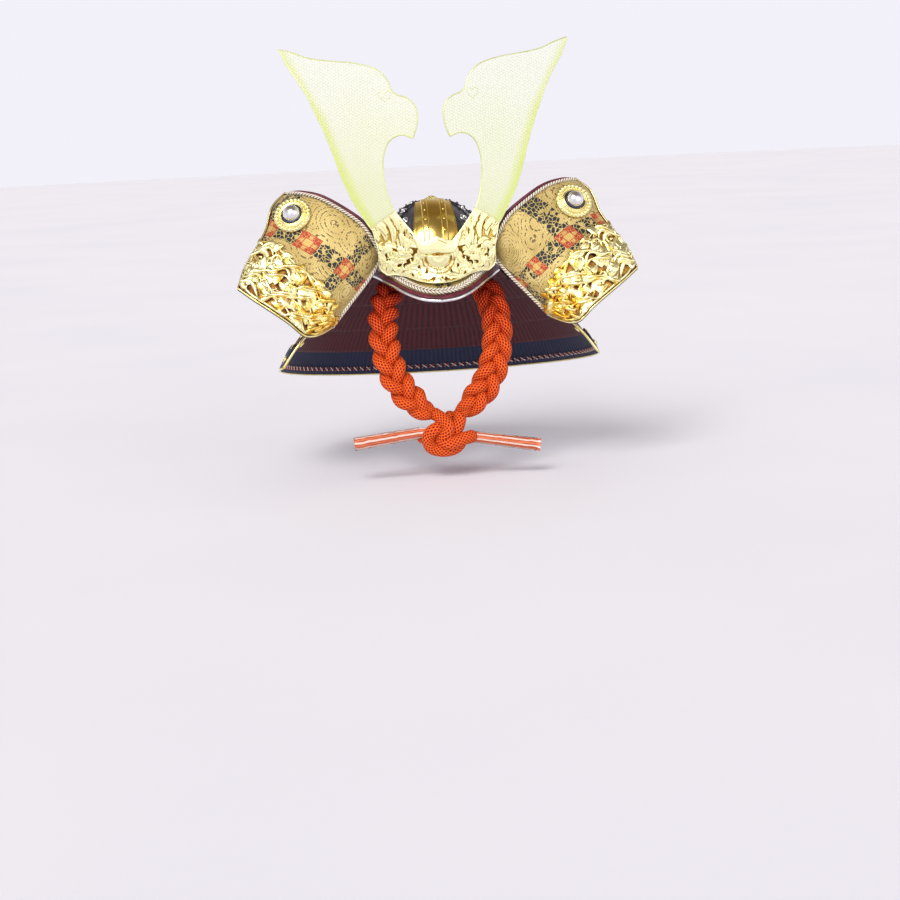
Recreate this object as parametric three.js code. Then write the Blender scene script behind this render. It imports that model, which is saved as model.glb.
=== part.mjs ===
// A small kabuto made for display: lacquered bowl, gilt crest with two tall horns, silver-edged
// visor, flared neck guard of five rows, turned-back wings and a plaited chin cord tied below.
// Sizes are in millimetres and angles in degrees. The wearer's front is -Y and up is +Z.
// Heights are first counted from the mouth of the bowl; at the end the whole helmet is lowered
// so that the inside of the crown, where the head or stand bears, is the origin.

import * as THREE from "three";

const air = 0.35;

const bowl_radius = 41;
const bowl_height = 44;
const bowl_wall = 1.4;
const band_height = 7;

const plate_wall = 0.9;
const plate_half_width = 16;
const plate_taper = 5;

const crown_radius = 6.2;
const crown_height = 3.4;

const visor_wall = 1.2;
const visor_depth = 25;
const visor_slope = 0.82;
const visor_half_angle = 66;
const rim_radius = 1.15;
const leather_width = 3.2;
const leather_wall = 0.6;
const rope_radius = 1.2;

const crest_wall = 1;
const crest_standoff = 9;
const crest_flat_from = 18;
const crest_reach = 43.7;
const crest_height = 38;
const crest_drop = 11.5;

const horn_wall = 1.1;
const horn_reach = 100.8;
const horn_height = 147.7;
const horn_lean = 0.12;
const horn_foot = 12;

const cup_width = 17;
const cup_height = 8;
const cup_depth = 2.4;
const drop_radius = 1.9;

const guard_radius = 114.5;
const guard_drop = 57.5;
const guard_droop = 0.6;
const lame_wall = 1.3;
const lame_lap = 2.2;
const fold_angle = 123;
const visor_gap_angle = 2;
const end_angle = 105;

const wing_wall = 1.3;
const wing_reach = 137.5;
const wing_rise = 49.5;
const wing_foot = 48;
const wing_bulge = 11;
const wing_front = 25.5;
const wing_foot_front = 52;
const wing_sweep = 20;
const wing_seat = 4.2;
const brocade_wall = 0.7;
const brocade_inset = 2.7;
const edging_radius = 0.9;
const mount_wall = 0.9;
const mount_lift = 1.1;

const boss_radius = 13.3;
const boss_height = 3.6;
const dome_radius = 7.3;
const dome_height = 4.2;

const ring_radius = 4.2;
const ring_wire = 0.8;
const cord_width = 19;
const knot_width = 37;
const knot_depth = 24;
const knot_height = 29;
const tail_width = 8.6;

// Points of one side of the chin cord, from the ring inside the band down to the knot.
const braid_route = [
  [34.2, -7.4, -12.7],
  [34.2, -7.9, -16.5],
  [35.6, -13, -22],
  [37.6, -19.5, -28.5],
  [39.3, -25.5, -35.5],
  [40, -31, -43],
  [39.5, -35.5, -53],
  [37.8, -39.5, -63],
  [34.9, -43, -73],
  [29.8, -46, -83],
  [23.2, -48.7, -91.5],
  [16.6, -50.6, -97.6],
  [10.3, -51.7, -102.4],
];
const knot_place = [0, -52, -118];
const tail_left_route = [
  [-19.1, -52.6, -114.6],
  [-34, -53.6, -116],
  [-49, -54.4, -117.6],
  [-64.5, -55, -119.4],
];
const tail_right_route = [
  [18.9, -52.6, -119.3],
  [34, -53.6, -121.9],
  [49, -54.4, -124.6],
  [64.5, -55, -127.3],
];

const group = new THREE.Group();
const V = (x, y, z) => new THREE.Vector3(x, y, z);
const rad = (degrees) => (degrees * Math.PI) / 180;

// A value read smoothly from a table whose entries are evenly spaced from 0 to 1.
function read(table, share) {
  const last = table.length - 1;
  const at = Math.min(Math.max(share, 0), 1) * last;
  const i = Math.min(Math.floor(at), last - 1);
  const f = at - i;
  const before = i > 0 ? table[i - 1] : 2 * table[i] - table[i + 1];
  const after = i + 2 <= last ? table[i + 2] : 2 * table[i + 1] - table[i];
  const lift = (table[i + 1] - before) / 2;
  const land = (after - table[i]) / 2;
  const f2 = f * f;
  const f3 = f2 * f;
  return (
    (2 * f3 - 3 * f2 + 1) * table[i] +
    (f3 - 2 * f2 + f) * lift +
    (3 * f2 - 2 * f3) * table[i + 1] +
    (f3 - f2) * land
  );
}

// Adds a named solid, with its faces turned outwards.
function add(name, points, faces, look) {
  let volume = 0;
  for (const [a, b, c] of faces) {
    volume += points[a].dot(V(0, 0, 0).crossVectors(points[b], points[c]));
  }
  const index = faces.flatMap(([a, b, c]) => (volume < 0 ? [a, c, b] : [a, b, c]));
  const geometry = new THREE.BufferGeometry();
  geometry.setAttribute(
    "position",
    new THREE.Float32BufferAttribute(points.flatMap((p) => [p.x, p.y, p.z]), 3),
  );
  geometry.setIndex(index);
  geometry.computeVertexNormals();
  const mesh = new THREE.Mesh(geometry, look());
  mesh.name = name;
  group.add(mesh);
}

// A thin shell between an outer and an inner surface, both given over u and v from 0 to 1.
function shell(name, across, down, outer, inner, look) {
  const points = [];
  const faces = [];
  for (const side of [outer, inner]) {
    for (let j = 0; j <= down; j++) {
      for (let i = 0; i <= across; i++) {
        points.push(side(i / across, j / down));
      }
    }
  }
  const row = across + 1;
  const layer = row * (down + 1);
  const quad = (a, b, c, d) => faces.push([a, b, c], [a, c, d]);
  for (let j = 0; j < down; j++) {
    for (let i = 0; i < across; i++) {
      const a = j * row + i;
      quad(a, a + 1, a + 1 + row, a + row);
      quad(layer + a, layer + a + row, layer + a + 1 + row, layer + a + 1);
    }
  }
  for (let i = 0; i < across; i++) {
    const foot = down * row + i;
    quad(i + 1, i, layer + i, layer + i + 1);
    quad(foot, foot + 1, layer + foot + 1, layer + foot);
  }
  for (let j = 0; j < down; j++) {
    const a = j * row;
    const b = a + across;
    quad(a, a + row, layer + a + row, layer + a);
    quad(b + row, b, layer + b, layer + b + row);
  }
  add(name, points, faces, look);
}

// A closed tube through a list of points, with a flat end at each end.
function tube(name, route, radius, sides, look) {
  const points = [];
  const faces = [];
  const first = route[1].clone().sub(route[0]).normalize();
  let up = Math.abs(first.z) < 0.8 ? V(0, 0, 1) : V(0, 1, 0);
  route.forEach((p, k) => {
    const before = route[Math.max(k - 1, 0)];
    const after = route[Math.min(k + 1, route.length - 1)];
    const along = after.clone().sub(before).normalize();
    const aside = V(0, 0, 0).crossVectors(along, up).normalize();
    up = V(0, 0, 0).crossVectors(aside, along).normalize();
    for (let i = 0; i < sides; i++) {
      const turn = (2 * Math.PI * i) / sides;
      const out = aside.clone().multiplyScalar(Math.cos(turn) * radius);
      out.addScaledVector(up, Math.sin(turn) * radius);
      points.push(p.clone().add(out));
    }
  });
  for (let k = 0; k + 1 < route.length; k++) {
    for (let i = 0; i < sides; i++) {
      const a = k * sides + i;
      const b = k * sides + ((i + 1) % sides);
      faces.push([a, b, b + sides], [a, b + sides, a + sides]);
    }
  }
  const end = (route.length - 1) * sides;
  for (let i = 1; i + 1 < sides; i++) {
    faces.push([0, i + 1, i], [end, end + i, end + i + 1]);
  }
  add(name, points, faces, look);
}

// A turned solid from a profile of [radius, height] that starts and ends on the axis, or
// else closes on itself, set at a place with its axis along a direction.
function turned(name, profile, sides, place, axis, look) {
  const turn = new THREE.Quaternion().setFromUnitVectors(V(0, 0, 1), axis.clone().normalize());
  const points = [];
  const rings = profile.map(([r, h]) => {
    const ring = [];
    for (let i = 0; i < (r > 0 ? sides : 1); i++) {
      const around = (2 * Math.PI * i) / sides;
      const point = V(r * Math.cos(around), r * Math.sin(around), h);
      ring.push(points.length);
      points.push(point.applyQuaternion(turn).add(place));
    }
    return ring;
  });
  if (profile[0][0] > 0) {
    rings.push(rings[0]);
  }
  const faces = [];
  for (let k = 0; k + 1 < rings.length; k++) {
    const low = rings[k];
    const high = rings[k + 1];
    for (let i = 0; i < sides; i++) {
      const next = (i + 1) % sides;
      if (low.length > 1) {
        faces.push([low[i], low[next], high[high.length > 1 ? next : 0]]);
      }
      if (high.length > 1) {
        faces.push([low[low.length > 1 ? i : 0], high[next], high[i]]);
      }
    }
  }
  add(name, points, faces, look);
}

// Splits every edge longer than a limit at its middle, until none is left.
function split_long(points, faces, limit) {
  let list = faces;
  let again = true;
  while (again) {
    again = false;
    const middles = new Map();
    const middle = (a, b) => {
      if (points[a].distanceTo(points[b]) <= limit) {
        return -1;
      }
      const key = Math.min(a, b) + "_" + Math.max(a, b);
      if (!middles.has(key)) {
        middles.set(key, points.length);
        points.push(points[a].clone().lerp(points[b], 0.5));
      }
      again = true;
      return middles.get(key);
    };
    const next = [];
    for (const face of list) {
      const cuts = face.map((a, k) => middle(a, face[(k + 1) % 3]));
      const count = cuts.filter((cut) => cut >= 0).length;
      const first = count === 1 ? cuts.findIndex((cut) => cut >= 0) : 0;
      const open = count === 2 ? (cuts.findIndex((cut) => cut < 0) + 1) % 3 : first;
      const [a, b, c] = [0, 1, 2].map((k) => face[(open + k) % 3]);
      const [ab, bc, ca] = [0, 1, 2].map((k) => cuts[(open + k) % 3]);
      if (count === 0) {
        next.push(face);
      } else if (count === 1) {
        next.push([a, ab, c], [ab, b, c]);
      } else if (count === 2) {
        next.push([ab, b, bc], [a, ab, bc], [a, bc, c]);
      } else {
        next.push([a, ab, ca], [ab, b, bc], [ca, bc, c], [ab, bc, ca]);
      }
    }
    list = next;
  }
  return list;
}

// A flat outline with holes, given thickness and then bent by a function of (x, z, depth).
function bent(name, outline, holes, limit, bend, look) {
  const ring = (path, clockwise) => {
    const points = path.map(([x, z]) => new THREE.Vector2(x, z));
    return THREE.ShapeUtils.isClockWise(points) === clockwise ? points : points.reverse();
  };
  const shape = new THREE.Shape(ring(outline, false));
  for (const hole of holes) {
    shape.holes.push(new THREE.Path(ring(hole, true)));
  }
  const flat = new THREE.ExtrudeGeometry(shape, { depth: 1, bevelEnabled: false });
  const old = flat.getAttribute("position");
  const seen = new Map();
  const points = [];
  const index = [];
  for (let i = 0; i < old.count; i++) {
    const point = V(old.getX(i), old.getY(i), old.getZ(i));
    const key = point.toArray().map((v) => Math.round(v * 1e4)).join();
    if (!seen.has(key)) {
      seen.set(key, points.length);
      points.push(point);
    }
    index.push(seen.get(key));
  }
  const faces = [];
  for (let i = 0; i < index.length; i += 3) {
    faces.push([index[i], index[i + 1], index[i + 2]]);
  }
  const split = split_long(points, faces, limit);
  add(
    name,
    points.map((p) => bend(p.x, p.y, p.z)),
    split,
    look,
  );
}

const finish = (color, roughness, metalness) => () =>
  new THREE.MeshStandardMaterial({ color, roughness, metalness });
const lacquer = finish(0x33343f, 0.25, 0.3);
const gilt = finish(0xd9b65a, 0.3, 0.9);
const pale_gilt = finish(0xeff0c0, 0.35, 0.8);
const silver = finish(0xdfe0e4, 0.2, 1);
const leather = finish(0x5a1226, 0.55, 0);
const brocade = finish(0xc9a55c, 0.75, 0);
const cream = finish(0xe8dcc8, 0.8, 0);
const laced = finish(0x5a1420, 0.7, 0);
const navy_laced = finish(0x161c3c, 0.7, 0);
const vermilion = finish(0xe2501e, 0.75, 0);
const sleeve = finish(0xd8694a, 0.2, 0);

// Bowl: a lacquered half round of plates, open below, with a plain upright band under it.
const bowl_profile = [];
const bowl_inner = bowl_radius - bowl_wall;
const crown_rise = bowl_height / bowl_radius;
for (let k = 0; k <= 9; k++) {
  const tilt = rad(10 * k);
  bowl_profile.push([bowl_radius * Math.sin(tilt), bowl_height * Math.cos(tilt)]);
}
for (let k = 9; k >= 0; k--) {
  const tilt = rad(10 * k);
  bowl_profile.push([bowl_inner * Math.sin(tilt), bowl_inner * crown_rise * Math.cos(tilt)]);
}
bowl_profile[0][0] = 0;
bowl_profile[19][0] = 0;
turned("bowl", bowl_profile, 40, V(0, 0, 0), V(0, 0, 1), lacquer);

const band_top = -air;
const band_foot = -air - band_height;
const band_profile = [
  [bowl_inner, band_foot],
  [bowl_radius, band_foot],
  [bowl_radius, band_top],
  [bowl_inner, band_top],
];
turned("bowl_band", band_profile, 40, V(0, 0, 0), V(0, 0, 1), lacquer);

// Front plate: a broad gilt strip over the front of the bowl, a little narrower at the crown.
function on_front(x, tilt, r) {
  const round = Math.sqrt(r * r - x * x);
  return V(x, -round * Math.sin(rad(tilt)), round * crown_rise * Math.cos(rad(tilt)));
}
const plate_inner = bowl_radius + air;
const plate_outer = plate_inner + plate_wall;
const plate_point = (r) => (u, v) => {
  const tilt = 13 + v * 77;
  const half = plate_half_width - plate_taper * (1 - Math.sin(rad(tilt)));
  return on_front((2 * u - 1) * half, tilt, r);
};
shell("front_gilt_plate", 8, 10, plate_point(plate_outer), plate_point(plate_inner), gilt);

// Crown fitting: a scalloped washer with a short collar, seated on the top of the bowl.
const crown_foot = bowl_height + air;
const crown_profile = [
  [0, crown_foot],
  [crown_radius * 0.5, crown_foot],
  [crown_radius, crown_foot - crown_radius * 0.04],
  [crown_radius, crown_foot + crown_height * 0.24],
  [crown_radius * 0.62, crown_foot + crown_height * 0.4],
  [crown_radius * 0.55, crown_foot + crown_height * 0.8],
  [crown_radius * 0.4, crown_foot + crown_height],
  [0, crown_foot + crown_height],
];
turned("crown_fitting", crown_profile, 20, V(0, 0, 0), V(0, 0, 1), gilt);

// Visor: a peak that slopes down and out, deepest at the middle. Its depth is a share of the
// middle depth, read at even steps from the middle to each end.
const visor_shares = [1, 0.95, 0.81, 0.65, 0.5, 0.4, 0.32, 0.28];
const visor_inner = bowl_radius + air;
const visor_down = V(Math.cos(Math.atan(visor_slope)), 0, -Math.sin(Math.atan(visor_slope)));
const visor_up = V(-visor_down.z, 0, visor_down.x);
function visor_reach(turn) {
  return visor_depth * read(visor_shares, Math.abs(turn) / visor_half_angle);
}
function on_visor(turn, out, lift) {
  const r = visor_inner + out + lift * visor_up.x;
  const z = -1.2 - out * visor_slope + lift * visor_up.z;
  return V(r * Math.sin(rad(turn)), -r * Math.cos(rad(turn)), z);
}
const visor_turn = (u) => (2 * u - 1) * visor_half_angle;
const clear_of_rim = rim_radius + air;
const visor_face = (lift) => (u, v) => {
  const turn = visor_turn(u);
  const start = lift < 0 ? visor_wall * visor_up.x : 0;
  const out = start + v * (visor_reach(turn) - clear_of_rim - start);
  return on_visor(turn, out, lift);
};
shell("visor", 28, 3, visor_face(0), visor_face(-visor_wall), brocade);

const strip_face = (lift) => (u, v) => {
  const turn = visor_turn(u);
  const edge = visor_reach(turn) - clear_of_rim;
  return on_visor(turn, edge - leather_width * (1 - v), lift);
};
const leather_foot = air;
const leather_top = air + leather_wall;
shell("visor_leather", 28, 1, strip_face(leather_top), strip_face(leather_foot), leather);

const rope_route = [];
const rim_route = [];
for (let k = 0; k <= 28; k++) {
  const turn = visor_turn(k / 28);
  const edge = visor_reach(turn) - clear_of_rim;
  const rope_out = edge - leather_width - air - rope_radius;
  const rope_turn = turn * 0.97;
  rope_route.push(on_visor(rope_turn, rope_out, air + rope_radius));
  rim_route.push(on_visor(turn, edge + air + rim_radius, -visor_wall / 2));
}
tube("visor_rope", rope_route, rope_radius, 6, cream);
tube("visor_rim", rim_route, rim_radius, 6, silver);

// Crest base: a pierced gilt plate that stands on the visor, curved round the middle and flat
// towards its two wings, where the horns are slotted in behind it.
const crest_radius = bowl_radius + crest_standoff;
const crest_flat_depth = Math.sqrt(crest_radius ** 2 - crest_flat_from ** 2);
const crest_flat_slope = crest_flat_from / crest_flat_depth;
function crest_front(x, z) {
  const side = Math.abs(x);
  const middle = Math.max(1 - (side / (0.54 * crest_radius)) ** 2, 0);
  const spread = z < 0 ? -0.58 * z * middle : 0;
  const lean = horn_lean * Math.max(z - horn_foot, 0);
  const round = Math.sqrt(Math.max(crest_radius ** 2 - side ** 2, 0));
  const flat = crest_flat_depth - crest_flat_slope * (side - crest_flat_from);
  return lean - (side < crest_flat_from ? round : flat) - spread;
}
const crest_half = [
  [0, 0.53, 1],
  [0.06, 0.5, 1],
  [0.13, 0.46, 1],
  [0.24, 0.45, 1],
  [0.36, 0.6, 1],
  [0.5, 0.8, 1],
  [0.63, 1, 1],
  [0.75, 0.93, 1],
  [0.87, 0.83, 1],
  [1, 0.72, 1],
  [0.96, 0.52, 1],
  [0.91, 0.3, 1],
  [0.92, 0.13, 1],
  [0.92, 0.02, 1],
  [0.88, -0.22, 0],
  [0.8, -0.42, 0],
  [0.68, -0.42, 0],
  [0.52, -0.55, 0],
  [0.36, -0.79, 0],
  [0.18, -0.96, 0],
  [0, -1, 0],
];
const crest_outline = crest_half.map(([x, z, above]) => [
  x * crest_reach,
  above ? z * crest_height : z * crest_drop,
]);
const crest_ring = [
  ...crest_outline,
  ...crest_outline
    .slice(1, -1)
    .reverse()
    .map(([x, z]) => [-x, z]),
];

// Piercings of the scrollwork: centre, length, width and lean of each comma-shaped opening.
const crest_piercings = [
  [0.3, 0.3, 0.105, 0.05, 20],
  [0.46, 0.38, 0.11, 0.05, 60],
  [0.6, 0.58, 0.12, 0.045, 70],
  [0.76, 0.66, 0.12, 0.05, 20],
  [0.78, 0.36, 0.11, 0.055, 80],
  [0.62, 0.26, 0.1, 0.05, -30],
  [0.44, 0.12, 0.1, 0.045, 10],
  [0.66, -0.01, 0.1, 0.05, 40],
  [0.8, 0.08, 0.08, 0.045, 80],
];
function piercing(cx, cz, long, wide, lean, mirror) {
  const points = [];
  for (let k = 0; k < 6; k++) {
    const turn = rad(60 * k);
    const taper = 1 - 0.35 * Math.cos(turn);
    const a = long * 0.5 * Math.cos(turn);
    const b = wide * 0.5 * Math.sin(turn) * taper;
    const x = cx + a * Math.cos(lean) - b * Math.sin(lean);
    const z = cz + a * Math.sin(lean) + b * Math.cos(lean);
    points.push([mirror * x, z]);
  }
  return points;
}
const crest_holes = [];
for (const [x, z, long, wide, lean] of crest_piercings) {
  for (const mirror of [1, -1]) {
    const size = crest_reach;
    crest_holes.push(
      piercing(x * size, z * crest_height, long * size, wide * size, rad(lean), mirror),
    );
  }
}
bent(
  "crest_base",
  crest_ring,
  crest_holes,
  19,
  (x, z, depth) => V(x, crest_front(x, z) + (depth - 1) * crest_wall, z),
  gilt,
);

// Cup and drop: the raised half-round cup and the bead under it at the middle of the crest.
const cup_top = 7;
const cup_outline = [];
for (let k = 0; k <= 10; k++) {
  const turn = rad(18 * k);
  const x = (-cup_width / 2) * Math.cos(turn);
  cup_outline.push([x, -cup_height * Math.sin(turn)]);
}
bent(
  "crest_cup",
  cup_outline,
  [],
  20,
  (x, z, depth) => {
    const narrow = depth > 0.5 ? 0.82 : 1;
    const up = cup_top + z * narrow;
    const seat = crest_front(x * narrow, up) - crest_wall - 3 * air;
    return V(x * narrow, seat - depth * cup_depth, up);
  },
  gilt,
);
const drop_z = cup_top - cup_height - air - drop_radius;
const drop_y = crest_front(0, drop_z) - crest_wall - air - drop_radius;
const drop_profile = [];
for (let k = 0; k <= 5; k++) {
  const turn = rad(36 * k);
  drop_profile.push([drop_radius * Math.sin(turn), -drop_radius * Math.cos(turn)]);
}
drop_profile[0][0] = 0;
drop_profile[5][0] = 0;
turned("crest_bead", drop_profile, 10, V(0, drop_y, drop_z), V(0, 0, 1), gilt);

// Horns: two flat plates slotted behind the wings of the crest base. Each outline runs from the
// tang up the inner side, round the hook and along the top to the tip, then down the outside.
const horn_shares = [
  [0.19, 0.05],
  [0.278, 0.2255],
  [0.301, 0.265],
  [0.318, 0.305],
  [0.33, 0.347],
  [0.338, 0.388],
  [0.339, 0.431],
  [0.334, 0.473],
  [0.319, 0.513],
  [0.291, 0.55],
  [0.241, 0.574],
  [0.182, 0.579],
  [0.125, 0.563],
  [0.104, 0.601],
  [0.091, 0.641],
  [0.092, 0.681],
  [0.112, 0.718],
  [0.156, 0.745],
  [0.212, 0.759],
  [0.254, 0.786],
  [0.272, 0.825],
  [0.333, 0.875],
  [0.424, 0.903],
  [0.521, 0.918],
  [0.619, 0.928],
  [0.717, 0.938],
  [0.815, 0.953],
  [0.906, 0.979],
  [1, 1],
  [0.954, 0.925],
  [0.888, 0.854],
  [0.828, 0.781],
  [0.78, 0.704],
  [0.732, 0.627],
  [0.69, 0.548],
  [0.653, 0.468],
  [0.615, 0.388],
  [0.57, 0.31],
  [0.513, 0.236],
  [0.449, 0.1645],
  [0.33, 0.05],
];
function horn_plane(x, z) {
  const side = Math.abs(x);
  const line = -crest_flat_depth + crest_flat_slope * (side - crest_flat_from);
  return line + horn_lean * (z - horn_foot) + 1.2 * air;
}
// Inside the width of the crest the horns keep to the crest; beyond it they take up their reach.
const horn_seat_share = 0.4335;
const horn_outline = horn_shares.map(([x, z]) => {
  const within = Math.min(x / horn_seat_share, 1) * crest_reach;
  const beyond = Math.max(x - horn_seat_share, 0) / (1 - horn_seat_share);
  return [within + beyond * (horn_reach - crest_reach), horn_foot / 3 + z * horn_height];
});
for (const [name, side] of [
  ["horn_left", -1],
  ["horn_right", 1],
]) {
  bent(
    name,
    horn_outline,
    [],
    400,
    (x, z, depth) => V(side * x, horn_plane(x, z) + depth * horn_wall, z),
    pale_gilt,
  );
}

// Neck guard: five rows that flare out and droop towards the back. Turn is counted from the
// back; share runs down the slope from the band to the lowest edge.
const guard_outs = [0, 0.22, 0.45, 0.69, 0.86, 1];
const guard_downs = [0, 0.17, 0.37, 0.6, 0.79, 1];
function on_guard(turn, share, lift) {
  const start = bowl_radius + 2 * air;
  const place = (s) => {
    const r = start + (guard_radius - start) * read(guard_outs, s);
    const lean = Math.cos(rad(turn)) - Math.cos(rad(fold_angle));
    const deeper = 1 + (guard_droop * lean) / (1 - Math.cos(rad(fold_angle)));
    return [r, -3.5 - guard_drop * read(guard_downs, s) * deeper];
  };
  const [r, z] = place(share);
  const [r2, z2] = place(share + (share < 0.98 ? 0.02 : 0));
  const [r1, z1] = place(share - (share < 0.98 ? 0 : 0.02));
  const size = Math.hypot(r2 - r1, z2 - z1);
  const out = r + (lift * (z1 - z2)) / size;
  const up = z + (lift * (r2 - r1)) / size;
  return V(out * Math.sin(rad(turn)), out * Math.cos(rad(turn)), up);
}
const lame_step = lame_wall + air;
for (let k = 0; k < 5; k++) {
  const limit = (share) => {
    const beside_visor = 180 - visor_half_angle - visor_gap_angle;
    const widen = Math.min(Math.max((share - 0.1) / 0.1, 0), 1);
    return k < 3 ? beside_visor + (fold_angle - beside_visor) * widen : end_angle;
  };
  const top = Math.max(k / 5 - (k > 0 ? lame_lap / 100 : 0), 0);
  const foot = (k + 1) / 5;
  const face = (wall) => (u, v) => {
    const share = top + v * (foot - top);
    const lift = (k > 0 ? 1 - v : 0) * lame_step * 1.35 + wall;
    return on_guard((2 * u - 1) * limit(share), share, lift);
  };
  const look = k < 4 ? laced : navy_laced;
  shell("lame_" + (k + 1), 26, k > 0 ? 1 : 2, face(lame_wall), face(0), look);
}

// Turned-back wings: each grows from the front ends of the upper three rows, rounds over
// forwards and sweeps out and back. Edges are listed as shares of its reach, rise and foot,
// seen from the front: fold edge, top edge, outer edge and lower edge.
const wing_top = [
  [0.29, 0],
  [0.292, 0.17],
  [0.323, 0.38],
  [0.371, 0.57],
  [0.471, 0.776],
  [0.57, 0.93],
  [0.67, 0.995],
  [0.745, 0.985],
];
const wing_low = [
  [0.545, -0.9],
  [0.6, -0.97],
  [0.645, -1],
  [0.69, -0.97],
  [0.76, -0.79],
  [0.85, -0.6],
  [0.93, -0.44],
  [1, -0.29],
];
const wing_fold = [
  [0.29, 0],
  [0.33, -0.2],
  [0.385, -0.39],
  [0.44, -0.56],
  [0.495, -0.74],
  [0.545, -0.9],
];
const wing_outer = [
  [0.745, 0.985],
  [0.815, 0.8],
  [0.85, 0.5],
  [0.9, 0.26],
  [0.965, -0.02],
  [1, -0.29],
];
const wing_swell = [0, -0.62, -0.98, -1, -0.82, -0.5, -0.1, 0.4];
const column = (table, k) => table.map((entry) => entry[k]);
function wing_edge(table, share) {
  const z = read(column(table, 1), share);
  return [read(column(table, 0), share) * wing_reach, z * (z > 0 ? wing_rise : wing_foot)];
}
// Front view place of a point of the wing: n runs outwards from the fold, t down from the top.
function wing_flat(n, t) {
  const top = wing_edge(wing_top, n);
  const low = wing_edge(wing_low, n);
  const fold = wing_edge(wing_fold, t);
  const outer = wing_edge(wing_outer, t);
  const corner = [
    wing_edge(wing_top, 0),
    wing_edge(wing_top, 1),
    wing_edge(wing_low, 0),
    wing_edge(wing_low, 1),
  ];
  return [0, 1].map(
    (k) =>
      (1 - t) * top[k] +
      t * low[k] +
      (1 - n) * fold[k] +
      n * outer[k] -
      (1 - n) * (1 - t) * corner[0][k] -
      n * (1 - t) * corner[1][k] -
      (1 - n) * t * corner[2][k] -
      n * t * corner[3][k],
  );
}
function wing_point(n, t) {
  const [x, z] = wing_flat(n, t);
  const lean = wing_front + (wing_foot_front - wing_front) * t;
  const depth = wing_bulge * read(wing_swell, n) + n * (1 - t) * wing_sweep - lean;
  return V(x, depth, z + wing_seat - 0.03 * depth);
}
function on_wing(n, t, lift) {
  const e = 0.01;
  const a = wing_point(Math.min(n + e, 1), t).sub(wing_point(Math.max(n - e, 0), t));
  const b = wing_point(n, Math.min(t + e, 1)).sub(wing_point(n, Math.max(t - e, 0)));
  const out = V(0, 0, 0).crossVectors(b, a).normalize();
  if (out.y > 0) {
    out.negate();
  }
  return wing_point(n, t).addScaledVector(out, lift);
}
const mirrored = (side, p) => V(side * p.x, p.y, p.z);
const wing_inset = brocade_inset / 60;
const brocade_foot = air;
const brocade_top = air + brocade_wall;
for (const [tag, side] of [
  ["left", -1],
  ["right", 1],
]) {
  const face = (lift) => (u, v) => mirrored(side, on_wing(u, v, lift));
  shell("turnback_" + tag, 10, 8, face(0), face(-wing_wall), leather);

  const within = (s) => wing_inset + s * (1 - 2 * wing_inset);
  const panel = (lift) => (u, v) => mirrored(side, on_wing(within(u), within(v), lift));
  shell("brocade_" + tag, 10, 8, panel(brocade_top), panel(brocade_foot), brocade);

  const edging = [];
  const high = air + edging_radius;
  for (let k = 0; k <= 12; k++) {
    edging.push(mirrored(side, on_wing(0.96 - (k / 12) * 0.945, 0.012, high)));
  }
  for (let k = 1; k <= 10; k++) {
    edging.push(mirrored(side, on_wing(0.015, 0.012 + (k / 10) * 0.96, high)));
  }
  tube("edging_" + tag, edging, edging_radius, 6, cream);
}

// Wing fittings: a pierced gilt mount along the lower and outer edge, and a beaded boss with a
// silver dome near the upper outer corner.
const mount_outline = [
  [0.16, 0.73],
  [0.3, 0.66],
  [0.42, 0.63],
  [0.55, 0.6],
  [0.68, 0.59],
  [0.8, 0.55],
  [0.9, 0.53],
  [0.97, 0.56],
  [0.985, 0.68],
  [0.985, 0.8],
  [0.985, 0.94],
  [0.85, 0.975],
  [0.72, 0.975],
  [0.58, 0.975],
  [0.44, 0.975],
  [0.3, 0.975],
  [0.18, 0.95],
  [0.12, 0.84],
];
const mount_piercings = [
  [0.24, 0.82, 60],
  [0.36, 0.73, 20],
  [0.38, 0.88, 80],
  [0.49, 0.8, 40],
  [0.52, 0.69, 10],
  [0.6, 0.89, 70],
  [0.63, 0.77, 30],
  [0.68, 0.66, 80],
  [0.76, 0.87, 50],
  [0.78, 0.74, 20],
  [0.82, 0.63, 60],
  [0.89, 0.86, 80],
  [0.9, 0.71, 40],
];
const wing_spread = 64;
const to_sheet = ([n, t]) => [n * wing_spread, t * wing_spread];
const mount_foot = brocade_top + air;
for (const [tag, side] of [
  ["left", -1],
  ["right", 1],
]) {
  const holes = mount_piercings.map(([n, t, lean]) => {
    return piercing(n * wing_spread, t * wing_spread, 4.2, 2.6, rad(lean), 1);
  });
  bent(
    "mount_" + tag,
    mount_outline.map(to_sheet),
    holes,
    17,
    (x, z, depth) => {
      const lift = mount_foot + mount_lift + depth * mount_wall;
      return mirrored(side, on_wing(x / wing_spread, z / wing_spread, lift));
    },
    gilt,
  );

  const seat_n = 0.8;
  const seat_t = 0.25;
  const seat = on_wing(seat_n, seat_t, brocade_top);
  const axis = on_wing(seat_n, seat_t, 5).sub(on_wing(seat_n, seat_t, 0)).normalize();
  const base = mirrored(side, seat.clone().addScaledVector(axis, air));
  const out = mirrored(side, axis);
  const boss_profile = [
    [0, 0],
    [boss_radius * 0.9, 0],
    [boss_radius, boss_height * 0.28],
    [boss_radius * 0.92, boss_height * 0.55],
    [boss_radius * 0.76, boss_height * 0.6],
    [boss_radius * 0.72, boss_height],
    [0, boss_height],
  ];
  turned("boss_" + tag, boss_profile, 24, base, out, gilt);
  const dome_profile = [
    [0, 0],
    [dome_radius, 0],
    [dome_radius, dome_height * 0.25],
    [dome_radius * 0.85, dome_height * 0.62],
    [dome_radius * 0.5, dome_height * 0.92],
    [0, dome_height],
  ];
  const dome_place = base.clone().addScaledVector(out, boss_height + air);
  turned("dome_" + tag, dome_profile, 18, dome_place, out, silver);
}

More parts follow.
